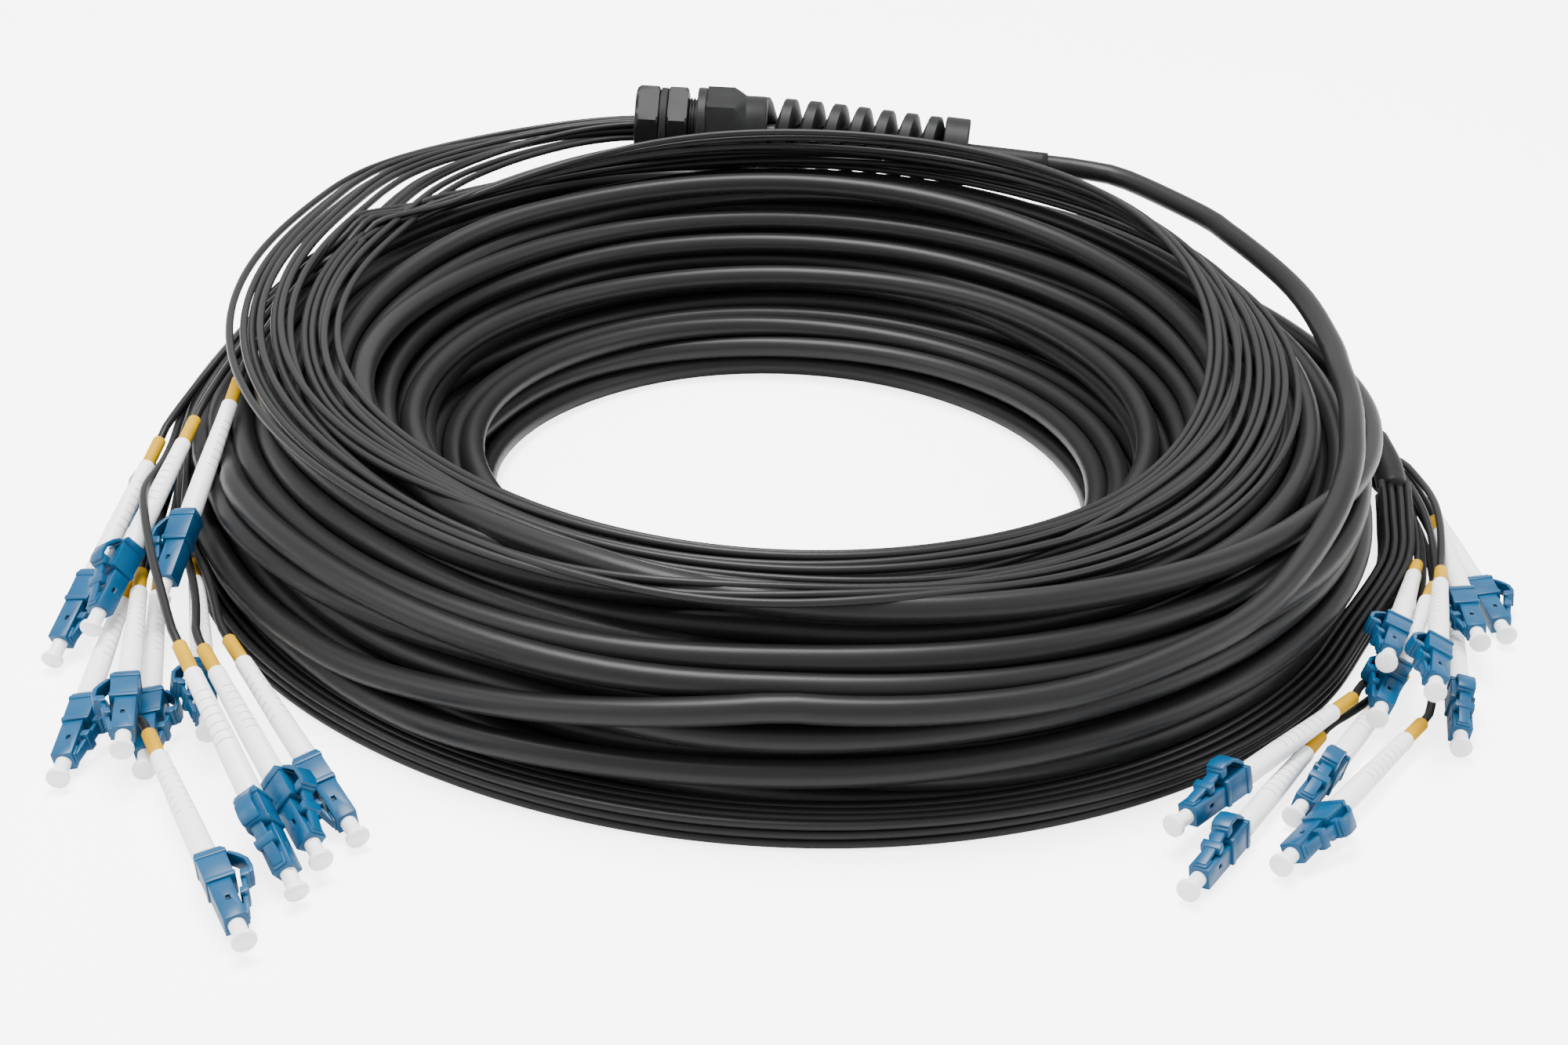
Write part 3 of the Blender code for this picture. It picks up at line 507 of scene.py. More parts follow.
def bump_from(tree, height, strength, shader):
    """Gives a shader a bump from a height."""
    bump = add_node(tree, "ShaderNodeBump", Strength=strength, Distance=0.0002)
    tree.links.new(height, bump.inputs["Height"])
    tree.links.new(bump.outputs["Normal"], shader.inputs["Normal"])


def jacket_finish(name, dark, light, roughness, streaks):
    """An extruded cable jacket: fine streaks along it and a fine grain."""
    material, tree, shader = new_finish(name, dark, roughness, 0.17)
    colour = put_effect(tree, streaks_effect, Stretch=(streaks, 9.0, 1.0),
                        Dark=(*dark, 1.0), Light=(*light, 1.0))
    tree.links.new(colour.outputs["Colour"], shader.inputs["Base Color"])
    grain = put_effect(tree, grain_effect, Fineness=2600.0)
    bump_from(tree, grain.outputs["Height"], 0.12, shader)
    return material


trunk_jacket = jacket_finish(
    "trunk_jacket", (0.006, 0.006, 0.0063), (0.011, 0.011, 0.0114), 0.38, 5.0)


def new_piece(name, points, faces, material, uvs=None, sharp=None):
    """A mesh piece with its place in its mesh."""
    data = bpy.data.meshes.new(name)
    data.from_pydata([tuple(p) for p in points], [], faces)
    if uvs is not None:
        layer = data.uv_layers.new(name="UVMap")
        layer.data.foreach_set("uv", np.asarray(uvs, float).ravel())
    data.materials.append(material)
    data.shade_smooth()
    if sharp is not None:
        data.set_sharp_from_angle(angle=math.radians(sharp))
    piece = bpy.data.objects.new(name, data)
    bpy.context.collection.objects.link(piece)
    return piece


def grid_faces(rows, columns, first=0):
    """Quads of a skin of rows of points, each row a closed ring."""
    at = first + np.arange(rows * columns).reshape(rows, columns)
    after = np.roll(at, -1, axis=1)
    quads = np.stack((at[:-1], after[:-1], after[1:], at[1:]), axis=-1)
    return quads.reshape(-1, 4).tolist()


def carried_frames(points):
    """The way along a line and two directions across it, carried without twist."""
    along = np.gradient(points, axis=0)
    along /= np.linalg.norm(along, axis=1)[:, None]
    side = np.cross(along[0], (0.0, 0.0, 1.0))
    side /= np.linalg.norm(side)
    sides = []
    for way in along:
        side = side - way * side.dot(way)
        side /= np.linalg.norm(side)
        sides.append(side)
    sides = np.array(sides)
    return along, sides, np.cross(along, sides)


def tube(name, points, diameter, sides, material):
    """A round cable along the points, with its length in its UV map."""
    along, across, up = carried_frames(points)
    turn = 2 * math.pi * np.arange(sides) / sides
    ring = across[:, None] * np.cos(turn)[:, None] + up[:, None] * np.sin(turn)[:, None]
    skin = points[:, None] + ring * diameter / 2
    faces = grid_faces(len(points), sides)
    faces.append(list(range(sides - 1, -1, -1)))
    last = (len(points) - 1) * sides
    faces.append(list(range(last, last + sides)))
    walked = line_walk(points)
    u = np.arange(sides + 1) / sides
    low = np.stack((u[:-1], u[1:], u[1:], u[:-1]), axis=1)
    uvs = np.zeros((len(points) - 1, sides, 4, 2))
    uvs[..., 0] = low[None]
    uvs[..., 0:2, 1] = walked[:-1, None, None]
    uvs[..., 2:4, 1] = walked[1:, None, None]
    uvs = np.concatenate((uvs.reshape(-1, 2), np.zeros((2 * sides, 2))))
    return new_piece(name, skin.reshape(-1, 3), faces, material, uvs)


turns_settled, trunk_steps = wind_coil()
step_angle = 2 * math.pi * np.arange(trunk_steps) / STEPS_A_TURN
coil_line = np.stack((turns_settled[:trunk_steps, 0] * np.cos(step_angle),
                      turns_settled[:trunk_steps, 0] * np.sin(step_angle),
                      turns_settled[:trunk_steps, 1]), axis=1)
SHRINK_END = 128.9 * MM
TRUNK_IN_GLAND = 28.0 * MM
TO_GLAND = [(0.0995, 0.1255, 0.0522), (0.088, 0.1313, 0.0527)]
DRAWN_A_TURN = 116
MIDDLE_R = 118.0 * MM
TRUNK_SIDES = 12
gland_run = [tuple(gland_point(x)) for x in np.linspace(SHRINK_END + 3 * MM, TRUNK_IN_GLAND, 12)]
trunk_route = list(coil_line) + TO_GLAND + gland_run
draw_spacing = 2 * math.pi * MIDDLE_R / DRAWN_A_TURN
trunk_line = clear_of_connectors(smooth_points(trunk_route, draw_spacing))
trunk_cable = tube("trunk_cable", trunk_line, TRUNK_D, TRUNK_SIDES, trunk_jacket)
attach(trunk_cable, "root")
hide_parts("trunk_coil", "trunk_tail_a", "trunk_tail_b")


# Legs
# Twelve thin cables leave each breakout, run one lap of the coil side by side,
# and fan out to their connectors.  The near end's lie on top of the turns, and
# the far end's lie on the floor at the coil's foot.

LEG_D = 2.0 * MM
LEG_COUNT = 12
LEG_BUNDLE_D = 8.4 * MM
GAP = 0.3 * MM
LANE_PITCH = 2.15 * MM


def grid_slots(centre, along):
    """Places of twelve legs that run together, four beside each other in three layers."""
    across = along.cross(Vector((0.0, 0.0, 1.0))).normalized()
    up = across.cross(along)
    return [centre + across * (column - 1.5) * LANE_PITCH + up * (row - 1) * LANE_PITCH
            for row in range(3) for column in range(4)]


def matched(starts, targets):
    """Gives each target the nearest free start, the farthest target first."""
    free = list(range(len(starts)))
    chosen = {}
    middle = sum(starts, Vector()) / len(starts)
    for name, target in sorted(targets.items(), key=lambda item: -(item[1] - middle).length):
        best = min(free, key=lambda k: (starts[k] - target).length)
        free.remove(best)
        chosen[name] = best
    return chosen


turn_grid = turns_settled.reshape(-1, STEPS_A_TURN, 2)
turn_alive = (np.arange(len(turns_settled)) < trunk_steps).reshape(-1, STEPS_A_TURN)


def lay_on_coil(lanes, first_step, held_start, held_end, held_up):
    """Lets the legs settle on the turns below them, in lanes round the coil.

    lanes holds (radius, height) for each leg at each step.
    """
    place = lanes.copy()
    count, steps, _ = place.shape
    slices = (first_step + np.arange(steps)) % STEPS_A_TURN
    turns = np.where(turn_alive[:, slices, None], turn_grid[:, slices], 9.0)
    loose = np.ones(steps, bool)
    loose[:held_start] = False
    loose[steps - held_end:] = False
    others = ~np.eye(count, dtype=bool)[:, :, None]
    clear = (TRUNK_D + LEG_D) / 2 + 0.1 * MM
    rounds = 220
    for turn in range(rounds):
        late = turn > rounds * 0.75
        move = np.zeros_like(place)
        if not late:
            move[..., 0] += (lanes[..., 0] - place[..., 0]) * 0.08
        move[..., 1] += (lanes[..., 1] - place[..., 1]) * 0.08 * held_up
        move[..., 1] -= (0.12 * MM if late else 0.35 * MM) * (1 - held_up)
        apart = place[:, None] - place[None, :]
        far = np.sqrt((apart**2).sum(axis=-1)) + 1e-9
        short = np.where(others & (far < LEG_D), LEG_D - far, 0.0)
        move += (apart * (short / far)[..., None]).sum(axis=1) * 0.45
        lap = STEPS_A_TURN
        if steps > lap:
            apart = place[:, None, :steps - lap] - place[None, :, lap:]
            far = np.sqrt((apart**2).sum(axis=-1)) + 1e-9
            short = np.where(far < LEG_D, LEG_D - far, 0.0)
            push = apart * (short / far)[..., None] * 0.45
            move[:, :steps - lap] += push.sum(axis=1)
            move[:, lap:] -= push.sum(axis=0)
        place[:, loose] += move[:, loose]
        away = place[:, None] - turns[None]
        far = np.sqrt((away**2).sum(axis=-1)) + 1e-9
        short = np.where(far < clear, clear - far, 0.0)
        push = (away * (short / far)[..., None]).sum(axis=1)
        place[:, loose] += push[:, loose] * 0.9
        for _ in range(1 if late else 2):
            ease = np.zeros_like(place)
            ease[:, 1:-1] = (place[:, :-2] + place[:, 2:]) / 2 - place[:, 1:-1]
            ease[:, ~loose] = 0.0
            place += ease * (0.2 if late else 0.5)
        place[..., 1] = np.maximum(place[..., 1], LEG_D / 2)
    for _ in range(3):
        place[:, 1:-1] += ((place[:, :-2] + place[:, 2:]) / 2 - place[:, 1:-1]) * 0.5
    return place


def to_space(place, first_step):
    """Points in space for (radius, height) at steps round the coil."""
    angle = 2 * math.pi * (first_step + np.arange(place.shape[1])) / STEPS_A_TURN
    return np.stack((place[..., 0] * np.cos(angle), place[..., 0] * np.sin(angle),
                     place[..., 1]), axis=-1)


def part_legs(legs, obstacles, rounds=300):
    """Pushes crossing legs apart until each lies clear beside or over the others.

    Each leg keeps its first and last points.  Obstacles are balls, as rows of
    x, y, z and radius.
    """
    names = list(legs)
    owner = np.concatenate([np.full(len(legs[n]), i) for i, n in enumerate(names)])
    at = np.vstack([legs[n] for n in names])
    fixed = np.zeros(len(at), bool)
    for i in range(len(names)):
        own = np.flatnonzero(owner == i)
        fixed[own[:3]] = True
        fixed[own[-3:]] = True
    inner = np.flatnonzero(owner[2:] == owner[:-2]) + 1
    need = LEG_D + GAP
    reach = 9 * MM
    for turn in range(rounds):
        if turn % 15 == 0:
            far = np.linalg.norm(at[:, None] - at[None], axis=2)
            near_a, near_b = np.nonzero((owner[:, None] != owner[None]) & (far < reach))
            far = np.linalg.norm(at[:, None] - obstacles[None, :, :3], axis=2)
            ball_a, ball_b = np.nonzero(far < obstacles[None, :, 3] + reach)
        move = np.zeros_like(at)
        gap = at[near_a] - at[near_b]
        far = np.linalg.norm(gap, axis=1) + 1e-9
        short = np.maximum(need - far, 0.0) / far * 0.4
        np.add.at(move, near_a, gap * short[:, None])
        gap = at[ball_a] - obstacles[ball_b, :3]
        far = np.linalg.norm(gap, axis=1) + 1e-9
        short = np.maximum(obstacles[ball_b, 3] + LEG_D / 2 + GAP / 2 - far, 0.0) / far * 0.6
        np.add.at(move, ball_a, gap * short[:, None])
        for _ in range(3):
            spread = move.copy()
            spread[inner] = move[inner - 1] / 4 + move[inner] / 2 + move[inner + 1] / 4
            move = spread
        stiffness = 0.5 * max(0.0, 1 - turn / (rounds * 0.8))
        move[inner] += ((at[inner - 1] + at[inner + 1]) / 2 - at[inner]) * stiffness
        move[fixed] = 0.0
        at += move
        at[:, 2] = np.maximum(at[:, 2], LEG_D / 2)
    for _ in range(10):
        move = np.zeros_like(at)
        move[inner] = ((at[inner - 1] + at[inner + 1]) / 2 - at[inner]) * 0.5
        move[fixed] *= 0.35
        ends = np.concatenate([np.flatnonzero(owner == i)[[0, -1]] for i in range(len(names))])
        move[ends] = 0.0
        at += move
    return {n: at[owner == i] for i, n in enumerate(names)}


def connector_balls(places):
    """Balls that fill the connectors, for the legs to keep clear of."""
    balls = []
    for place in places.values():
        tip, forward, latch_way = connector_axes(place)
        for k in range(34):
            back = k * 2.0 * MM
            centre = tip - forward * back
            radius = 2.6 * MM
            if CAP_LENGTH + PLUG_LENGTH / 2 < back < BOOT_START:
                centre += latch_way * 0.8 * MM
                radius = 3.6 * MM
            if back < CONNECTOR_LENGTH - SLEEVE_LENGTH:
                balls.append((*centre, radius))
    return balls


def coil_balls(low, high):
    """Balls along the coil's turns between two angles, in degrees."""
    near = []
    line = smooth_points(coil_line, 3 * MM)
    angle = np.degrees(np.arctan2(line[:, 1], line[:, 0]))
    inside = (angle > low) & (angle < high) & (np.hypot(line[:, 0], line[:, 1]) > 128 * MM)
    for point in line[inside]:
        near.append((*point, TRUNK_D / 2))
    return near


# The routes of the free runs, from where each end's legs part to near their
# connectors, in millimetres
ROUTE_A = {
    "a01": [(-133, 34, 45), (-150, 0, 34)],
    "a02": [(-135, 40, 41)],
    "a03": [(-131, 38, 47), (-135, 0, 46)],
    "a04": [(-132, 36, 46), (-144, -4, 38)],
    "a05": [(-138, 38, 37), (-155, 0, 24), (-157, -45, 13)],
    "a06": [(-136, 37, 39), (-152, 0, 28), (-154, -45, 17)],
    "a07": [(-135, 37, 38), (-151, 0, 25), (-151, -45, 12)],
    "a08": [(-133, 36, 40), (-149, 0, 29), (-147, -42, 15)],
    "a09": [(-140, 40, 35), (-156, 5, 19), (-159, -20, 9), (-157, -42, 4), (-153.5, -76, 1.8),
            (-149, -97, 1.6), (-145, -112, 1.8), (-142.5, -121, 3.8), (-139.8, -127, 6.4),
            (-134.8, -131.6, 7.7)],
    "a10": [(-138, 36, 41), (-156, -16, 29), (-150.5, -43, 24.5), (-147.5, -82, 28), (-136, -105, 24.5)],
    "a11": [(-132, 35, 42), (-150, -8, 30), (-148, -45, 18), (-138, -78, 13), (-130, -98, 14)],
    "a12": [(-131, 35, 44), (-148, -8, 32), (-145, -45, 20), (-135, -76, 13), (-128, -93, 12)],
}
ROUTE_B = {
    "b01": [(165, -2, 4), (160, -30, 2), (149, -68, 2)],
    "b02": [(167, -2, 4), (162, -34, 2), (150, -72, 2), (134, -97, 1.6)],
    "b03": [(168, -2, 5), (162, -34, 3), (153, -62, 3)],
    "b04": [(169.5, 0, 3), (166, -28, 3), (157, -66, 4), (150, -92, 3)],
    "b05": [(167, 6, 8.5), (165.5, -8, 9.5), (163, -22, 9.5)],
    "b06": [(172, 4, 11), (168, -20, 15)],
    "b07": [(168, 6, 9), (168.5, -9, 10), (166, -24, 10.5), (163, -34, 9)],
    "b08": [(171, 6, 5), (170, -18, 2)],
    "b09": [(171, 10, 9)],
    "b10": [(172, 22, 4)],
}
# Where the legs part, and where two of the far end's leave the lap behind the coil
FAN_A = Vector((-119.0, 62.0, 49.8)) * MM
FAN_B = Vector((164.5, 27.0, 6.5)) * MM
LEAVE_BEHIND = {
    "b11": [(8, 155.5, 1.3), (28, 156.0, 1.4), (44, 160.5, 2.2)],
    "b12": [(-93.2, 124.6, 1.3), (-78, 145, 1.4), (-62, 166, 2.0)],
}


def leg_tails(routes, places, starts, along, obstacles):
    """The free run of each leg, from where the legs part to its connector."""
    runs = {}
    for name, route in routes.items():
        tail, forward = connector_tail(places[name])
        points = [starts[name], starts[name] + along * 5 * MM]
        points += [Vector(p) * MM for p in route]
        points += [tail - forward * 6 * MM, tail - forward * 0.5 * MM]
        runs[name] = smooth_points(points, LEG_D)
    return part_legs(runs, np.array(obstacles))


def without_kinks(line):
    """Eases short kinks out of a line and leaves its longer bends as they are."""
    line = line.copy()
    for _ in range(10):
        for share in (0.5, -0.52):
            line[1:-1] += ((line[:-2] + line[2:]) / 2 - line[1:-1]) * share
    return line


# The near end's legs: out of the gland, down to the left shoulder, a lap over
# the crown, past the front of the gland and to the fan at the left
MOUTH_DEPTH = 7.0 * MM
gland_slots = grid_slots(GLAND_END + Vector((MOUTH_DEPTH, 0, 0)), Vector((-1.0, 0.0, 0.0)))
A_FIRST = round(STEPS_A_TURN * 122 / 360)
A_LAST = round(STEPS_A_TURN * (360 + 150) / 360)
# At these angles: the lap's middle, as (degrees, radius, height) in millimetres,
# how far the lanes spread sideways and upwards, and how far the legs are held up
# from sinking between the turns
LANE_CENTRES = ((122, 161, 55), (131, 158, 53), (142, 151, 51.5), (154, 141, 50.5), (168, 133, 49),
                (185, 128, 48), (201, 125, 47), (222, 122, 46), (240, 121, 45), (261, 124, 44.5),
                (283, 123, 44.5), (303, 114, 43), (322, 109, 41), (343, 111, 43), (364, 121, 50),
                (384, 122, 55), (398, 122, 57), (414, 122, 58), (434, 122, 58), (456, 121, 57),
                (474, 121, 55.5), (492, 124, 53), (502, 129, 51.5), (510, 133, 50))
LANE_SPREAD = ((122, 0.5), (140, 1.4), (166, 1.3), (200, 1.0), (350, 0.95), (384, 0.7), (398, 0.5),
               (470, 0.45), (490, 0.6), (510, 0.5))
LANE_RISE = ((122, 0.0), (350, 0.0), (384, 0.45), (398, 0.62), (470, 0.62), (490, 0.3), (510, 0.0))
HELD_UP = ((122, 1.0), (160, 0.9), (185, 0.8), (340, 0.8), (375, 0.9), (398, 1.0), (510, 1.0))
steps_a = A_LAST - A_FIRST + 1
lap_angle = (A_FIRST + np.arange(steps_a)) * 360 / STEPS_A_TURN
centres = np.array(LANE_CENTRES, float)
spread = np.array(LANE_SPREAD, float)
rise = np.array(LANE_RISE, float)
held_up = np.interp(lap_angle, *np.array(HELD_UP, float).T)
lanes_a = np.zeros((LEG_COUNT, steps_a, 2))
for leg in range(LEG_COUNT):
    lane = (leg - (LEG_COUNT - 1) / 2) * LANE_PITCH * np.interp(lap_angle, spread[:, 0], spread[:, 1])
    offset = random_numbers.uniform(0, 6.28, 3)
    sway = (1.5 * np.sin(np.radians(lap_angle) * 1.3 + offset[0])
            + 1.1 * np.sin(np.radians(lap_angle) * 2.3 + offset[1])) * MM
    lanes_a[leg, :, 0] = np.interp(lap_angle, centres[:, 0], centres[:, 1]) * MM + lane + sway
    lift = (leg - (LEG_COUNT - 1) / 2) * LANE_PITCH * np.interp(lap_angle, rise[:, 0], rise[:, 1])
    lanes_a[leg, :, 1] = (np.interp(lap_angle, centres[:, 0], centres[:, 2]) * MM - lift
                          + 1.0 * MM * np.sin(np.radians(lap_angle) * 1.7 + offset[2]))
settled_a = to_space(lay_on_coil(lanes_a, A_FIRST, 7, 3, held_up), A_FIRST)
fan_way = Vector((-0.56, -0.82, -0.05)).normalized()
fan_slots = grid_slots(FAN_A, fan_way)
first_targets = {n: Vector(ROUTE_A[n][0]) * MM for n in ROUTE_A}
slot_of = matched(fan_slots, first_targets)
by_lane = sorted(ROUTE_A, key=lambda n: (slot_of[n] % 4, slot_of[n] // 4))
from_centre = sorted(range(LEG_COUNT), key=lambda k: settled_a[k, -4, 0] ** 2 + settled_a[k, -4, 1] ** 2)
gap_order = sorted(range(LEG_COUNT), key=lambda k: (gland_slots[k].y, gland_slots[k].z))
if math.hypot(*fan_slots[0][:2]) > math.hypot(*fan_slots[3][:2]):
    by_lane.reverse()
obstacles_a = connector_balls(CONNECTORS_A) + coil_balls(125, 180) + coil_balls(-180, -120)
tails_a = leg_tails(ROUTE_A, CONNECTORS_A, {n: fan_slots[slot_of[n]] for n in ROUTE_A},
                    fan_way, obstacles_a)
leg_lines = {}
for position, name in enumerate(by_lane):
    lane = from_centre[position]
    mouth = gland_slots[gap_order[position]]
    lap = [Vector(p) for p in settled_a[lane]]
    start = [mouth, mouth - Vector((10, 0, 0)) * MM, mouth - Vector((17, 0.6, 0)) * MM]
    near = without_kinks(np.array(start + lap[2:-1]))
    leg_lines[name] = smooth_points(np.vstack((near, tails_a[name][1::3], tails_a[name][-1:])), 4 * MM)

# The far end's legs: down from the breakout, a lap on the floor clockwise, and
# to the fan at the right; two of them leave behind the coil
FLOOR_LAP_STARTS = -24
FLOOR_LAP_DEGREES = 312
FLOOR_LAP_HEIGHT = 3.35 * MM
lap_r = COIL_OUTER_R - LEG_RECESS_DEPTH + LEG_BUNDLE_D / 2 + GAP + 0.5 * MM
bundle_b = [Vector((159.4, -2.6, 13.4)) * MM, Vector((157.2, -18, 10.0)) * MM,
            Vector((153.5, -34, 6.5)) * MM]
for degrees in range(FLOOR_LAP_STARTS, FLOOR_LAP_STARTS - FLOOR_LAP_DEGREES, -12):
    angle = math.radians(degrees)
    bundle_b.append(Vector((lap_r * math.cos(angle), lap_r * math.sin(angle), FLOOR_LAP_HEIGHT)))
bundle_b += [Vector((161.0, 42.0, 4.8)) * MM, FAN_B]
bundle_line = smooth_points(bundle_b, 8 * MM)
bundle_way, _, _ = carried_frames(bundle_line)
fan_way_b = Vector(bundle_way[-1])
lane_lines = []
for row in range(3):
    for column in range(4):
        offset = random_numbers.uniform(0, 6.28)
        walk = np.arange(len(bundle_line)) * 0.35
        drift = 0.25 * MM * np.sin(walk + offset)
        out = np.stack((bundle_line[:, 0], bundle_line[:, 1], 0 * bundle_line[:, 2]), axis=1)
        out /= np.linalg.norm(out, axis=1)[:, None]
        lane_lines.append(bundle_line + out * ((column - 1.5) * LANE_PITCH + drift)[:, None]
                          + np.array((0.0, 0.0, (row - 1) * LANE_PITCH)))
fan_slots_b = [Vector(line[-1]) for line in lane_lines]
names_b = list(ROUTE_B)
slot_b = matched(fan_slots_b, {n: Vector(ROUTE_B[n][0]) * MM for n in names_b})
left = [k for k in range(LEG_COUNT) if k not in slot_b.values()]
left.sort(key=lambda k: -(k % 4))
slot_b["b12"], slot_b["b11"] = left
obstacles_b = connector_balls(CONNECTORS_B) + coil_balls(-60, 45)
obstacles_b += [(*point, LEG_BUNDLE_D / 2) for point in smooth_points(bundle_b, 3 * MM)[:-3]]
tails_b = leg_tails(ROUTE_B, CONNECTORS_B, {n: fan_slots_b[slot_b[n]] for n in names_b},
                    fan_way_b, obstacles_b)
for name in names_b:
    leg_lines[name] = smooth_points(list(lane_lines[slot_b[name]][:-1]) + list(tails_b[name][1::3])
                                    + [tails_b[name][-1]], 4 * MM)
for name, places in LEAVE_BEHIND.items():
    lane = lane_lines[slot_b[name]]
    leave = np.array(places[0]) * MM
    nearest = int(np.argmin(np.linalg.norm(lane - leave, axis=1)))
    tail, forward = connector_tail(CONNECTORS_B[name])
    rest = [Vector(p) * MM for p in places[1:]] + [tail - forward * 7 * MM, tail - forward * 0.5 * MM]
    leg_lines[name] = smooth_points(list(lane[:nearest - 2]) + rest, 4 * MM)


# Dust caps
# A round cap of white plastic is pushed over each connector's ferrule.  Its head
# has a rolled edge, and its neck goes into the square front.

def slow_cloud():
    """A slow change of colour over a moulding."""
    group, given, result = effect_group(
        "slow_cloud", {"Dark": "Color", "Light": "Color"}, "Colour", "Color")
    place = group.nodes.new("ShaderNodeTexCoord")
    cloud = add_node(group, "ShaderNodeTexNoise", Scale=160.0, Detail=3.0)
    group.links.new(place.outputs["Object"], cloud.inputs["Vector"])
    mix_by_noise(group, given, result, cloud)
    return group


cloud_effect = slow_cloud()


def moulded_finish(name, dark, light, roughness, grain_size, grain_strength, gloss=0.3):
    """A moulded plastic with a fine grain."""
    material, tree, shader = new_finish(name, dark, roughness, gloss)
    colour = put_effect(tree, cloud_effect, Dark=(*dark, 1.0), Light=(*light, 1.0))
    tree.links.new(colour.outputs["Colour"], shader.inputs["Base Color"])
    grain = put_effect(tree, grain_effect, Fineness=1.0 / grain_size)
    bump_from(tree, grain.outputs["Height"], grain_strength, shader)
    return material


cap_white = moulded_finish("cap_white", (0.90, 0.90, 0.90), (0.95, 0.95, 0.95), 0.35, 0.0005, 0.05)


def drawn_out(name, stations, sides):
    """A body made from a flat end that is extruded and resized at each station.

    Stations are (x, half width, low, high) in millimetres.  Four sides make a block,
    and many sides make a round body.
    """
    bpy.ops.object.select_all(action="DESELECT")
    upright = (0.0, math.pi / 2, 0.0)
    if sides == 4:
        bpy.ops.mesh.primitive_plane_add(size=2 * MM, rotation=upright)
    else:
        bpy.ops.mesh.primitive_circle_add(vertices=sides, radius=MM, fill_type="NGON", rotation=upright)
    bpy.ops.object.transform_apply(location=False, rotation=True, scale=False)
    shape = bpy.context.object
    shape.name = name
    x, half, low, high = stations[0]
    bpy.ops.object.mode_set(mode="EDIT")
    bpy.ops.mesh.select_all(action="SELECT")
    bpy.ops.transform.resize(value=(1.0, half, (high - low) / 2), center_override=(0.0, 0.0, 0.0))
    bpy.ops.transform.translate(value=(x * MM, 0.0, (low + high) / 2 * MM))
    for (x, half, low, high), (new_x, new_half, new_low, new_high) in zip(stations, stations[1:]):
        middle = (new_low + new_high) / 2
        step = ((new_x - x) * MM, 0.0, (middle - (low + high) / 2) * MM)
        bpy.ops.mesh.extrude_region_move(TRANSFORM_OT_translate={"value": step})
        bpy.ops.transform.resize(value=(1.0, new_half / half, (new_high - new_low) / (high - low)),
                                 center_override=(new_x * MM, 0.0, middle * MM))
    bpy.ops.mesh.select_all(action="SELECT")
    bpy.ops.mesh.normals_make_consistent(inside=False)
    bpy.ops.object.mode_set(mode="OBJECT")
    return shape


def round_body(name, profile, sides, material):
    """A round body from (x, radius) pairs in millimetres, smooth but for its edges."""
    shape = drawn_out(name, [(x, radius, -radius, radius) for x, radius in profile], sides)
    shape.data.materials.append(material)
    shape.data.shade_smooth()
    shape.data.set_sharp_from_angle(angle=math.radians(40))
    return shape


cap = round_body("cap", [
    (0.0, 0.6), (0.0, 2.1), (-0.25, 2.42), (-0.75, 2.5), (-1.25, 2.42), (-1.6, 1.95),
    (-1.9, 1.68), (-2.4, 1.62), (-5.7, 1.62)], 28, cap_white)


# Housings
# The blue moulding has a square plug with a small blind window in each side, a
# springy latch that rises to the back with its shoulders in the middle, and a
# back shell with an arm that reaches over the latch's end.

plug_blue = moulded_finish(
    "plug_blue", (0.0005, 0.046, 0.118), (0.0005, 0.062, 0.150), 0.36, 0.0005, 0.04, 0.3)
window_shadow = moulded_finish(
    "window_shadow", (0.0005, 0.008, 0.024), (0.0005, 0.011, 0.032), 0.6, 0.0005, 0.05)

PLUG_FRONT = -CAP_LENGTH / MM
SHELL_FRONT = PLUG_FRONT - PLUG_LENGTH / MM
SHELL_BACK = SHELL_FRONT - SHELL_LENGTH / MM
PLUG_HALF = 2.25
WINDOW_X = (PLUG_FRONT - 6.3, PLUG_FRONT - 5.0)
WINDOW_Z = (-0.1, 0.7)
WINDOW_DEPTH = 0.6
WINDOW_INSET = 0.1


def sink_window(plug, way):
    """Insets a side of the plug, moves the inset to the window's place and sinks it."""
    for face in plug.data.polygons:
        face.select = face.normal.y * way > 0.9
    side_x = (SHELL_FRONT - 1.0, PLUG_FRONT)
    length = side_x[1] - side_x[0] - 2 * WINDOW_INSET
    height = 2 * (PLUG_HALF - WINDOW_INSET)
    middle = (sum(side_x) / 2 * MM, way * PLUG_HALF * MM, 0.0)
    bpy.ops.object.mode_set(mode="EDIT")
    bpy.ops.mesh.inset(thickness=WINDOW_INSET * MM)
    bpy.ops.transform.resize(
        value=((WINDOW_X[1] - WINDOW_X[0]) / length, 1.0, (WINDOW_Z[1] - WINDOW_Z[0]) / height),
        center_override=middle)
    bpy.ops.transform.translate(value=(sum(WINDOW_X) / 2 * MM - middle[0], 0.0, sum(WINDOW_Z) / 2 * MM))
    bpy.ops.mesh.extrude_region_move(TRANSFORM_OT_translate={"value": (0.0, -way * WINDOW_DEPTH * MM, 0.0)})
    bpy.ops.object.mode_set(mode="OBJECT")


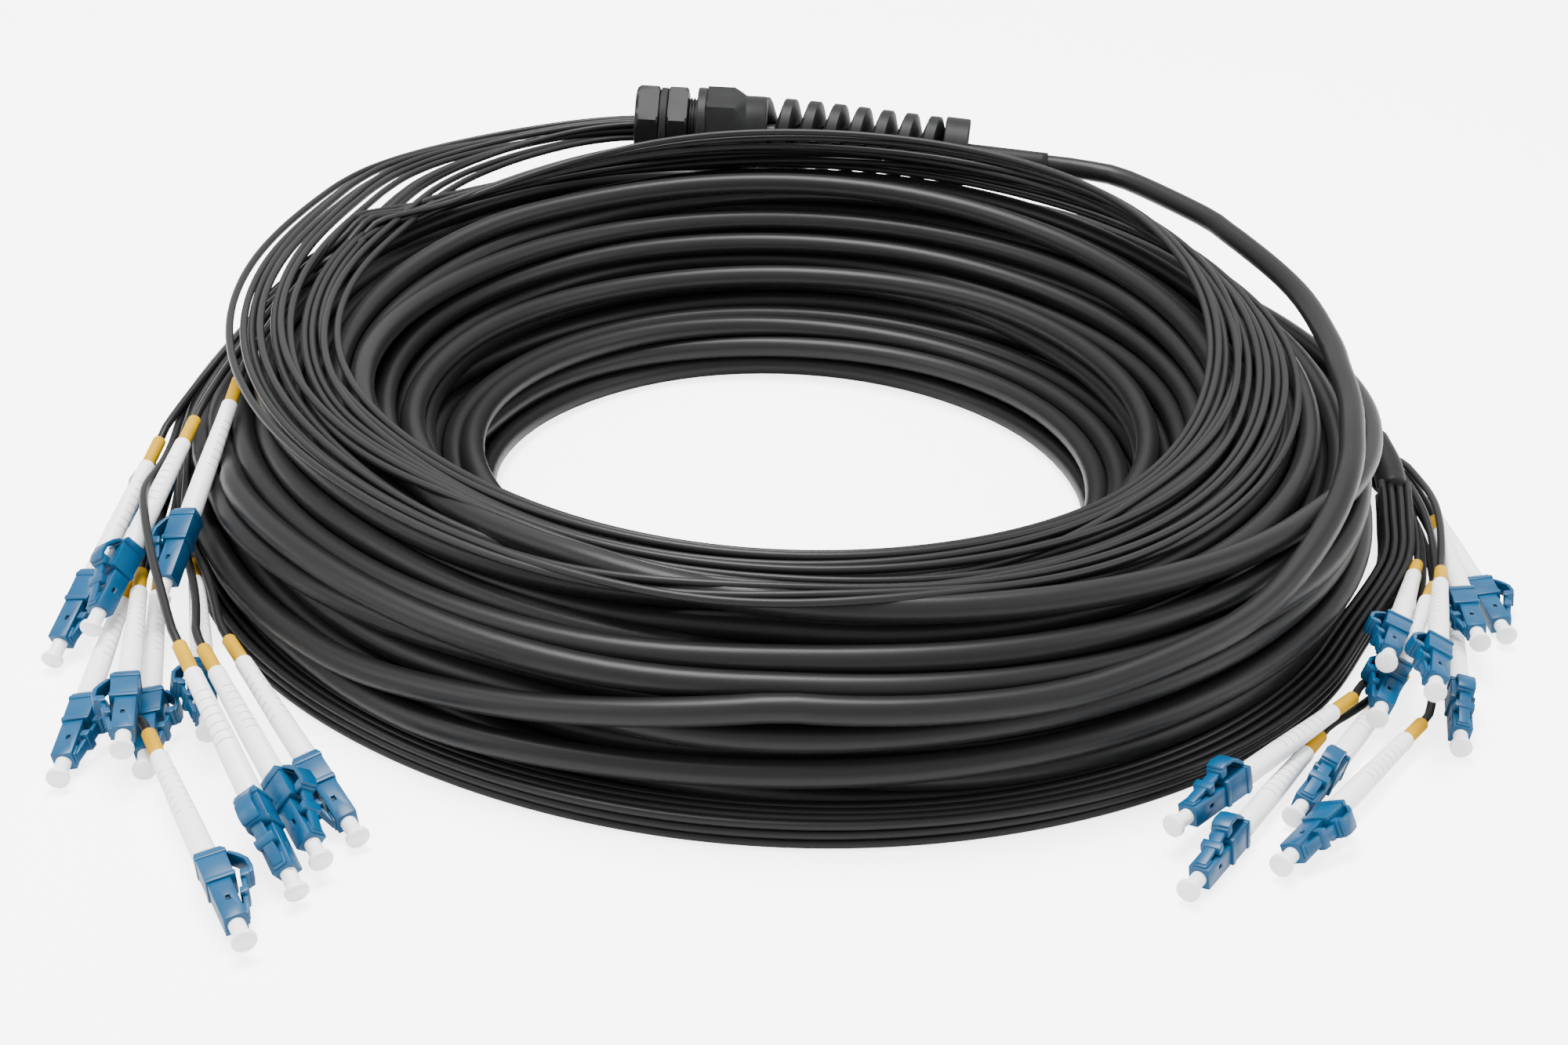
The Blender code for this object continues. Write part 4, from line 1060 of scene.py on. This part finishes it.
plug = drawn_out("plug", [(PLUG_FRONT, PLUG_HALF, -PLUG_HALF, PLUG_HALF),
                          (SHELL_FRONT - 1.0, PLUG_HALF, -PLUG_HALF, PLUG_HALF)], 4)
bpy.ops.object.mode_set(mode="EDIT")
bpy.ops.mesh.select_mode(type="FACE")
bpy.ops.mesh.select_all(action="DESELECT")
bpy.ops.object.mode_set(mode="OBJECT")
for way in (1, -1):
    sink_window(plug, way)
housing_parts = [plug]
for name, stations in {
    "latch_root": [(PLUG_FRONT - 0.4, 1.5, 2.0, 2.75), (PLUG_FRONT - 3.4, 1.5, 2.0, 2.75)],
    "latch": [(PLUG_FRONT - 1.0, 1.15, 2.1, 3.0), (PLUG_FRONT - 5.2, 1.25, 2.9, 3.9),
              (PLUG_FRONT - 8.0, 1.3, 3.6, 4.6), (PLUG_FRONT - 12.2, 1.3, 4.6, 5.6)],
    "latch_shoulders": [(PLUG_FRONT - 5.6, 2.2, 2.6, 4.3), (PLUG_FRONT - 7.4, 2.2, 3.0, 4.8)],
    "latch_end": [(PLUG_FRONT - 10.4, 2.0, 4.0, 5.9), (PLUG_FRONT - 12.4, 2.0, 4.4, 6.2)],
    "shell_rim": [(SHELL_FRONT + 0.6, 2.75, -2.55, 3.3), (SHELL_FRONT - 0.6, 2.8, -2.6, 3.6)],
    "shell": [(SHELL_FRONT - 0.2, 2.55, -2.45, 3.3), (SHELL_BACK + 1.0, 2.6, -2.5, 3.5),
              (SHELL_BACK, 2.35, -2.3, 2.9)],
    "shell_band": [(SHELL_BACK + 2.4, 2.8, -2.65, 3.7), (SHELL_BACK + 1.2, 2.8, -2.65, 3.7)],
    "arm": [(SHELL_BACK + 1.4, 1.7, 3.2, 4.3), (SHELL_BACK + 3.2, 1.8, 4.6, 5.8),
            (SHELL_BACK + 5.4, 1.9, 6.0, 7.0), (SHELL_BACK + 8.0, 2.0, 6.2, 7.1),
            (SHELL_BACK + 9.8, 2.0, 5.7, 6.6)],
}.items():
    housing_parts.append(drawn_out(name, stations, 4))
for piece in housing_parts:
    piece.select_set(True)
bpy.context.view_layer.objects.active = plug
bpy.ops.object.join()
soften = plug.modifiers.new("soften", "BEVEL")
soften.width = 0.22 * MM
soften.segments = 2
soften.limit_method = "ANGLE"
bpy.ops.object.modifier_apply(modifier="soften")
plug.data.materials.append(plug_blue)
plug.data.materials.append(window_shadow)
for face in plug.data.polygons:
    middle = face.center / MM
    if (WINDOW_X[0] < middle.x < WINDOW_X[1] and 1.3 < abs(middle.y) < 2.1
            and WINDOW_Z[0] < middle.z < WINDOW_Z[1]):
        face.material_index = 1
plug.data.shade_smooth()
plug.data.set_sharp_from_angle(angle=math.radians(35))


# Kink boots
# A long white boot keeps each leg from bending sharply behind its housing.  Short
# slits, staggered round its tail half, let it bend.

SLITS_START = 13.5 * MM
SLITS_END = 30.0 * MM
SLIT_PITCH = 2.4 * MM
SLIT_WIDTH = 0.16 * MM


def boot_finish():
    """The kink boot's white plastic, with short slits staggered round its tail half.

    The boot's UV map runs once round it in u and in metres along it in v.
    """
    material, tree, shader = new_finish("boot_white", (0.91, 0.91, 0.91), 0.4)
    place = tree.nodes.new("ShaderNodeUVMap")
    bricks = add_node(tree, "ShaderNodeTexBrick", Scale=1.0, Mortar_Size=SLIT_WIDTH, Mortar_Smooth=0.3,
                      Brick_Width=0.5, Row_Height=SLIT_PITCH, Color1=(1.0, 1.0, 1.0, 1.0),
                      Color2=(1.0, 1.0, 1.0, 1.0), Mortar=(0.0, 0.0, 0.0, 1.0))
    tree.links.new(place.outputs["UV"], bricks.inputs["Vector"])
    split = tree.nodes.new("ShaderNodeSeparateXYZ")
    tree.links.new(place.outputs["UV"], split.inputs["Vector"])
    tail = add_node(tree, "ShaderNodeMapRange", From_Min=SLITS_START, From_Max=SLITS_START + 0.3 * MM)
    tree.links.new(split.outputs["Y"], tail.inputs["Value"])
    before_end = add_node(tree, "ShaderNodeMapRange", From_Min=SLITS_END, From_Max=SLITS_END - 0.2 * MM)
    tree.links.new(split.outputs["Y"], before_end.inputs["Value"])

    def calculate(operation, first, second):
        node = tree.nodes.new("ShaderNodeMath")
        node.operation = operation
        for socket, value in zip(node.inputs, (first, second)):
            if isinstance(value, float):
                socket.default_value = value
            else:
                tree.links.new(value, socket)
        return node.outputs["Value"]

    dashes = calculate("PINGPONG", split.outputs["X"], 0.25)
    cut = calculate("GREATER_THAN", dashes, 0.07)
    here = calculate("MULTIPLY", tail.outputs["Result"], before_end.outputs["Result"])
    both = calculate("MULTIPLY", here, cut)
    shade = tree.nodes.new("ShaderNodeMix")
    shade.data_type = "RGBA"
    shade.inputs["A"].default_value = (1.0, 1.0, 1.0, 1.0)
    tree.links.new(both, shade.inputs["Factor"])
    tree.links.new(bricks.outputs["Color"], shade.inputs["B"])
    paint = tree.nodes.new("ShaderNodeMix")
    paint.data_type = "RGBA"
    paint.inputs["A"].default_value = (0.42, 0.42, 0.43, 1.0)
    paint.inputs["B"].default_value = (0.93, 0.93, 0.93, 1.0)
    tree.links.new(shade.outputs["Result"], paint.inputs["Factor"])
    tree.links.new(paint.outputs["Result"], shader.inputs["Base Color"])
    bump_from(tree, shade.outputs["Result"], 0.5, shader)
    return material


boot_white = boot_finish()
boot = round_body("boot", [
    (-26.0, 2.3), (-26.2, 2.5), (-28.6, 2.5), (-33.0, 2.45), (-40.0, 2.38), (-48.0, 2.2),
    (-57.0, 1.98), (-61.6, 1.93), (-62.0, 1.8)], 24, boot_white)
for face in boot.data.polygons:
    corners = [boot.data.vertices[v].co for v in face.vertices]
    turns = [math.atan2(corner.z, corner.y) / (2 * math.pi) for corner in corners]
    for loop, corner, turn in zip(face.loop_indices, corners, turns):
        if max(turns) - turn > 0.5:
            turn += 1.0
        boot.data.uv_layers.active.data[loop].uv = (turn, -corner.x + boot.data.vertices[0].co.x)


# Yellow sleeves
# A short sleeve of yellow heat shrink sits on the leg at the end of each boot, and
# closes the boot's tail.

sleeve_yellow = moulded_finish(
    "sleeve_yellow", (0.42, 0.225, 0.0), (0.50, 0.285, 0.0), 0.5, 0.0005, 0.1, 0.1)
sleeve = round_body("sleeve", [
    (-61.9, 1.45), (-62.0, 1.58), (-66.0, 1.6), (-70.3, 1.58), (-70.6, 1.4)], 20, sleeve_yellow)


# Connectors on their legs
# Each connector's four pieces are copied to its place, and its leg runs into the
# boot.  Every copy has its own mesh.

def placed(name, template, matrix):
    """A copy of a piece, with its place in its mesh."""
    data = template.data.copy()
    data.name = name
    data.transform(matrix)
    piece = bpy.data.objects.new(name, data)
    bpy.context.collection.objects.link(piece)
    return piece


CONNECTORS = {**CONNECTORS_A, **CONNECTORS_B}
for name, place in CONNECTORS.items():
    tip, forward, latch_way = connector_axes(place)
    axes = Matrix((forward, latch_way.cross(forward), latch_way)).transposed()
    matrix = Matrix.Translation(tip) @ axes.to_4x4()
    pieces = [placed("dust_cap_" + name, cap, matrix), placed("housing_" + name, plug, matrix),
              placed("boot_" + name, boot, matrix), placed("yellow_sleeve_" + name, sleeve, matrix)]
    for piece in pieces:
        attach(piece, "root")
        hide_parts("connector_" + name)
for template in (cap, plug, boot, sleeve):
    bpy.data.objects.remove(template)

LEG_SIDES = 8
LEG_IN_BOOT = (1.5, 5.0, 9.0, 16.0)
leg_jacket = jacket_finish("leg_jacket", (0.008, 0.008, 0.0085), (0.014, 0.014, 0.0145), 0.38, 4.0)
for name, line in leg_lines.items():
    tail, forward = connector_tail(CONNECTORS[name])
    line = np.vstack((line, [tuple(tail + forward * x * MM) for x in LEG_IN_BOOT]))
    leg = tube("leg_cable_" + name, line, LEG_D, LEG_SIDES, leg_jacket)
    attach(leg, "root")
    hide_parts("leg_" + name, "leg_bundle_" + name[0])


# Gland
# A screw gland of dark grey nylon, 24 mm across flats: a body with a hexagon and a
# stretch of bare thread, a lock nut and a rubber washer.  Its pieces are skins
# round the gland's axis, because the flats cut into their coned chamfers.

gland_nylon = moulded_finish(
    "gland_nylon", (0.0065, 0.0067, 0.007), (0.0105, 0.0108, 0.0115), 0.46, 0.0004, 0.15, 0.13)
washer_rubber = moulded_finish(
    "washer_rubber", (0.004, 0.004, 0.004), (0.007, 0.007, 0.007), 0.65, 0.0004, 0.2, 0.2)
ACROSS_FLATS = 24.0
GLAND_SIDES = 72
HEX_ROLL = math.radians(-2.0)
DOME_HEX_ROLL = math.radians(19.3)


def gland_frame(x):
    """The gland's axis at x: its point, and two directions across it."""
    along = (gland_point(x + MM) - gland_point(x - MM)).normalized()
    side = Vector((0.0, 0.0, 1.0)).cross(along).normalized()
    return gland_point(x), side, along.cross(side)


def face_outwards(piece):
    """Turns all of a piece's faces to the outside."""
    bpy.ops.object.select_all(action="DESELECT")
    bpy.context.view_layer.objects.active = piece
    piece.select_set(True)
    bpy.ops.object.mode_set(mode="EDIT")
    bpy.ops.mesh.select_all(action="SELECT")
    bpy.ops.mesh.normals_make_consistent(inside=False)
    bpy.ops.object.mode_set(mode="OBJECT")


def gland_skin(name, stations, material, roll, node):
    """A gland piece from its closed outline.

    A station is (x, radius, hexagon), in millimetres, and a hexagon's flats cut the
    circle of that radius.
    """
    points = []
    for x, radius, hexagon in stations:
        centre, side, up = gland_frame(x * MM)
        for i in range(GLAND_SIDES):
            angle = 2 * math.pi * i / GLAND_SIDES
            r = radius
            if hexagon:
                to_corner = (angle + math.pi / 6) % (math.pi / 3) - math.pi / 6
                r = min(radius, ACROSS_FLATS / 2 / math.cos(math.pi / 6 - abs(to_corner)))
            points.append(centre + (side * math.sin(angle + roll) + up * math.cos(angle + roll)) * r * MM)
    faces = grid_faces(len(stations) + 1, GLAND_SIDES)
    wrap = len(points)
    faces = [[k % wrap for k in face] for face in faces]
    piece = new_piece(name, points, faces, material, None, 30)
    face_outwards(piece)
    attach(piece, "root")
    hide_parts(node)
    return piece


corner = ACROSS_FLATS / math.sqrt(3)
lock_nut = gland_skin("lock_nut_moulding", [
    (0.0, 10.3, False), (0.0, 12.1, False), (0.25, 12.6, False), (0.9, 13.3, True), (1.4, corner, True),
    (6.7, corner, True), (7.2, 13.2, True), (7.2, 10.3, False)],
    gland_nylon, HEX_ROLL, "lock_nut")
washer = gland_skin("washer_moulding", [
    (7.5, 10.3, False), (7.5, 12.4, False), (7.8, 12.7, False), (9.6, 12.7, False), (9.9, 12.4, False),
    (9.9, 10.3, False)], washer_rubber, HEX_ROLL, "sealing_washer")
body_stations = [(1.0, 4.5, False), (1.0, 9.4, False), (1.6, 10.0, False), (10.2, 10.0, False),
                 (10.2, 13.1, True), (10.6, corner, True), (15.6, corner, True), (16.2, 13.0, True),
                 (16.2, 10.0, False)]
for thread in range(3):
    x = 16.6 + thread * 0.95
    body_stations += [(x, 9.35, False), (x + 0.3, 10.0, False),
                      (x + 0.5, 10.0, False), (x + 0.8, 9.35, False)]
body_stations += [(23.2, 9.6, False), (23.2, 4.5, False)]
gland_body = gland_skin("gland_body_moulding", body_stations, gland_nylon, HEX_ROLL,
                        "gland_body")


# Dome nut and spiral bend protector
# One nylon moulding: the dome nut clamps the cable, and a tapered ribbon winds
# from it round the cable to an end ring, so that the cable can't bend sharply.

dome_stations = [
    (19.2, 10.3, False), (19.2, 13.1, False), (19.5, 13.3, False), (21.7, 13.3, False), (22.0, 13.0, False),
    (22.1, corner, True), (30.4, corner, True), (31.6, 13.2, True), (33.0, 12.4, True),
    (34.2, 11.6, False), (34.5, 11.5, False), (40.2, 11.5, False), (40.8, 11.2, False), (41.0, 10.4, False),
    (41.0, 5.0, False), (41.0, 3.6, False), (26.5, 3.6, False), (23.5, 10.3, False)]
dome_nut = gland_skin("dome_nut_moulding", dome_stations, gland_nylon, DOME_HEX_ROLL,
                      "dome_nut_bend_protector")
end_ring = gland_skin("end_ring_moulding", [
    (96.4, 3.6, False), (96.4, 10.7, False), (96.8, 11.2, False), (103.6, 11.2, False), (104.0, 10.8, False),
    (104.0, 3.6, False)], gland_nylon, 0.0, "dome_nut_bend_protector")


SPIRAL_START = 40.2
SPIRAL_END = 97.4
SPIRAL_TURNS = 7.6
SPIRAL_TAPER = 0.05


def spiral_ribbon():
    """The bend protector's spiral: a tapered ribbon wound round the cable."""
    profile = [(-3.3, 4.0), (-3.1, 6.0), (-1.75, 11.0), (-1.45, 11.4), (1.45, 11.4), (1.75, 11.0),
               (3.1, 6.0), (3.3, 4.0)]
    steps = 280
    points = []
    for step in range(steps + 1):
        angle = 2 * math.pi * SPIRAL_TURNS * step / steps
        middle = SPIRAL_START + (SPIRAL_END - SPIRAL_START) * step / steps
        shrink = 1.0 - SPIRAL_TAPER * step / steps
        width = min(1.0, 0.35 + step / 12, 0.35 + (steps - step) / 12)
        for x, r in profile:
            centre, side, up = gland_frame((middle + x * width) * MM)
            points.append(centre + (side * math.sin(angle) + up * math.cos(angle)) * r * shrink * MM)
    faces = grid_faces(steps + 1, len(profile))
    faces.append(list(range(len(profile))))
    faces.append(list(range(len(points) - 1, len(points) - len(profile) - 1, -1)))
    ribbon = new_piece("bend_protector_spiral", points, faces, gland_nylon, None, 32)
    face_outwards(ribbon)
    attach(ribbon, "root")
    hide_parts("dome_nut_bend_protector")
    return ribbon


spiral = spiral_ribbon()


# Heat shrink and breakout wrap
# Black heat shrink is shrunk on the trunk behind the bend protector, and a wider
# wrap closes the place where the far end's legs come out of it.

SHRINK_D = 7.4 * MM
SHRINK_START = 103.0 * MM
WRAP_D = 8.0 * MM
shrink_finish = moulded_finish(
    "heat_shrink", (0.006, 0.006, 0.0063), (0.010, 0.010, 0.0103), 0.5, 0.0008, 0.2, 0.13)
shrink_route = [gland_point(x) for x in np.linspace(SHRINK_START, SHRINK_END, 8)]
shrink_a = tube("heat_shrink_tube", smooth_points(shrink_route, 2 * MM), SHRINK_D, 24, shrink_finish)
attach(shrink_a, "root")
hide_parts("heat_shrink_a")
sleeve_route = [Vector(p) * MM for p in ((159.4, -3.4, 13.2), (160, 8, 15), (159, 20, 16.5))]
sleeve_b = tube("breakout_wrap", smooth_points(sleeve_route, 2 * MM), WRAP_D, 24, shrink_finish)
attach(sleeve_b, "root")
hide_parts("breakout_sleeve_b")
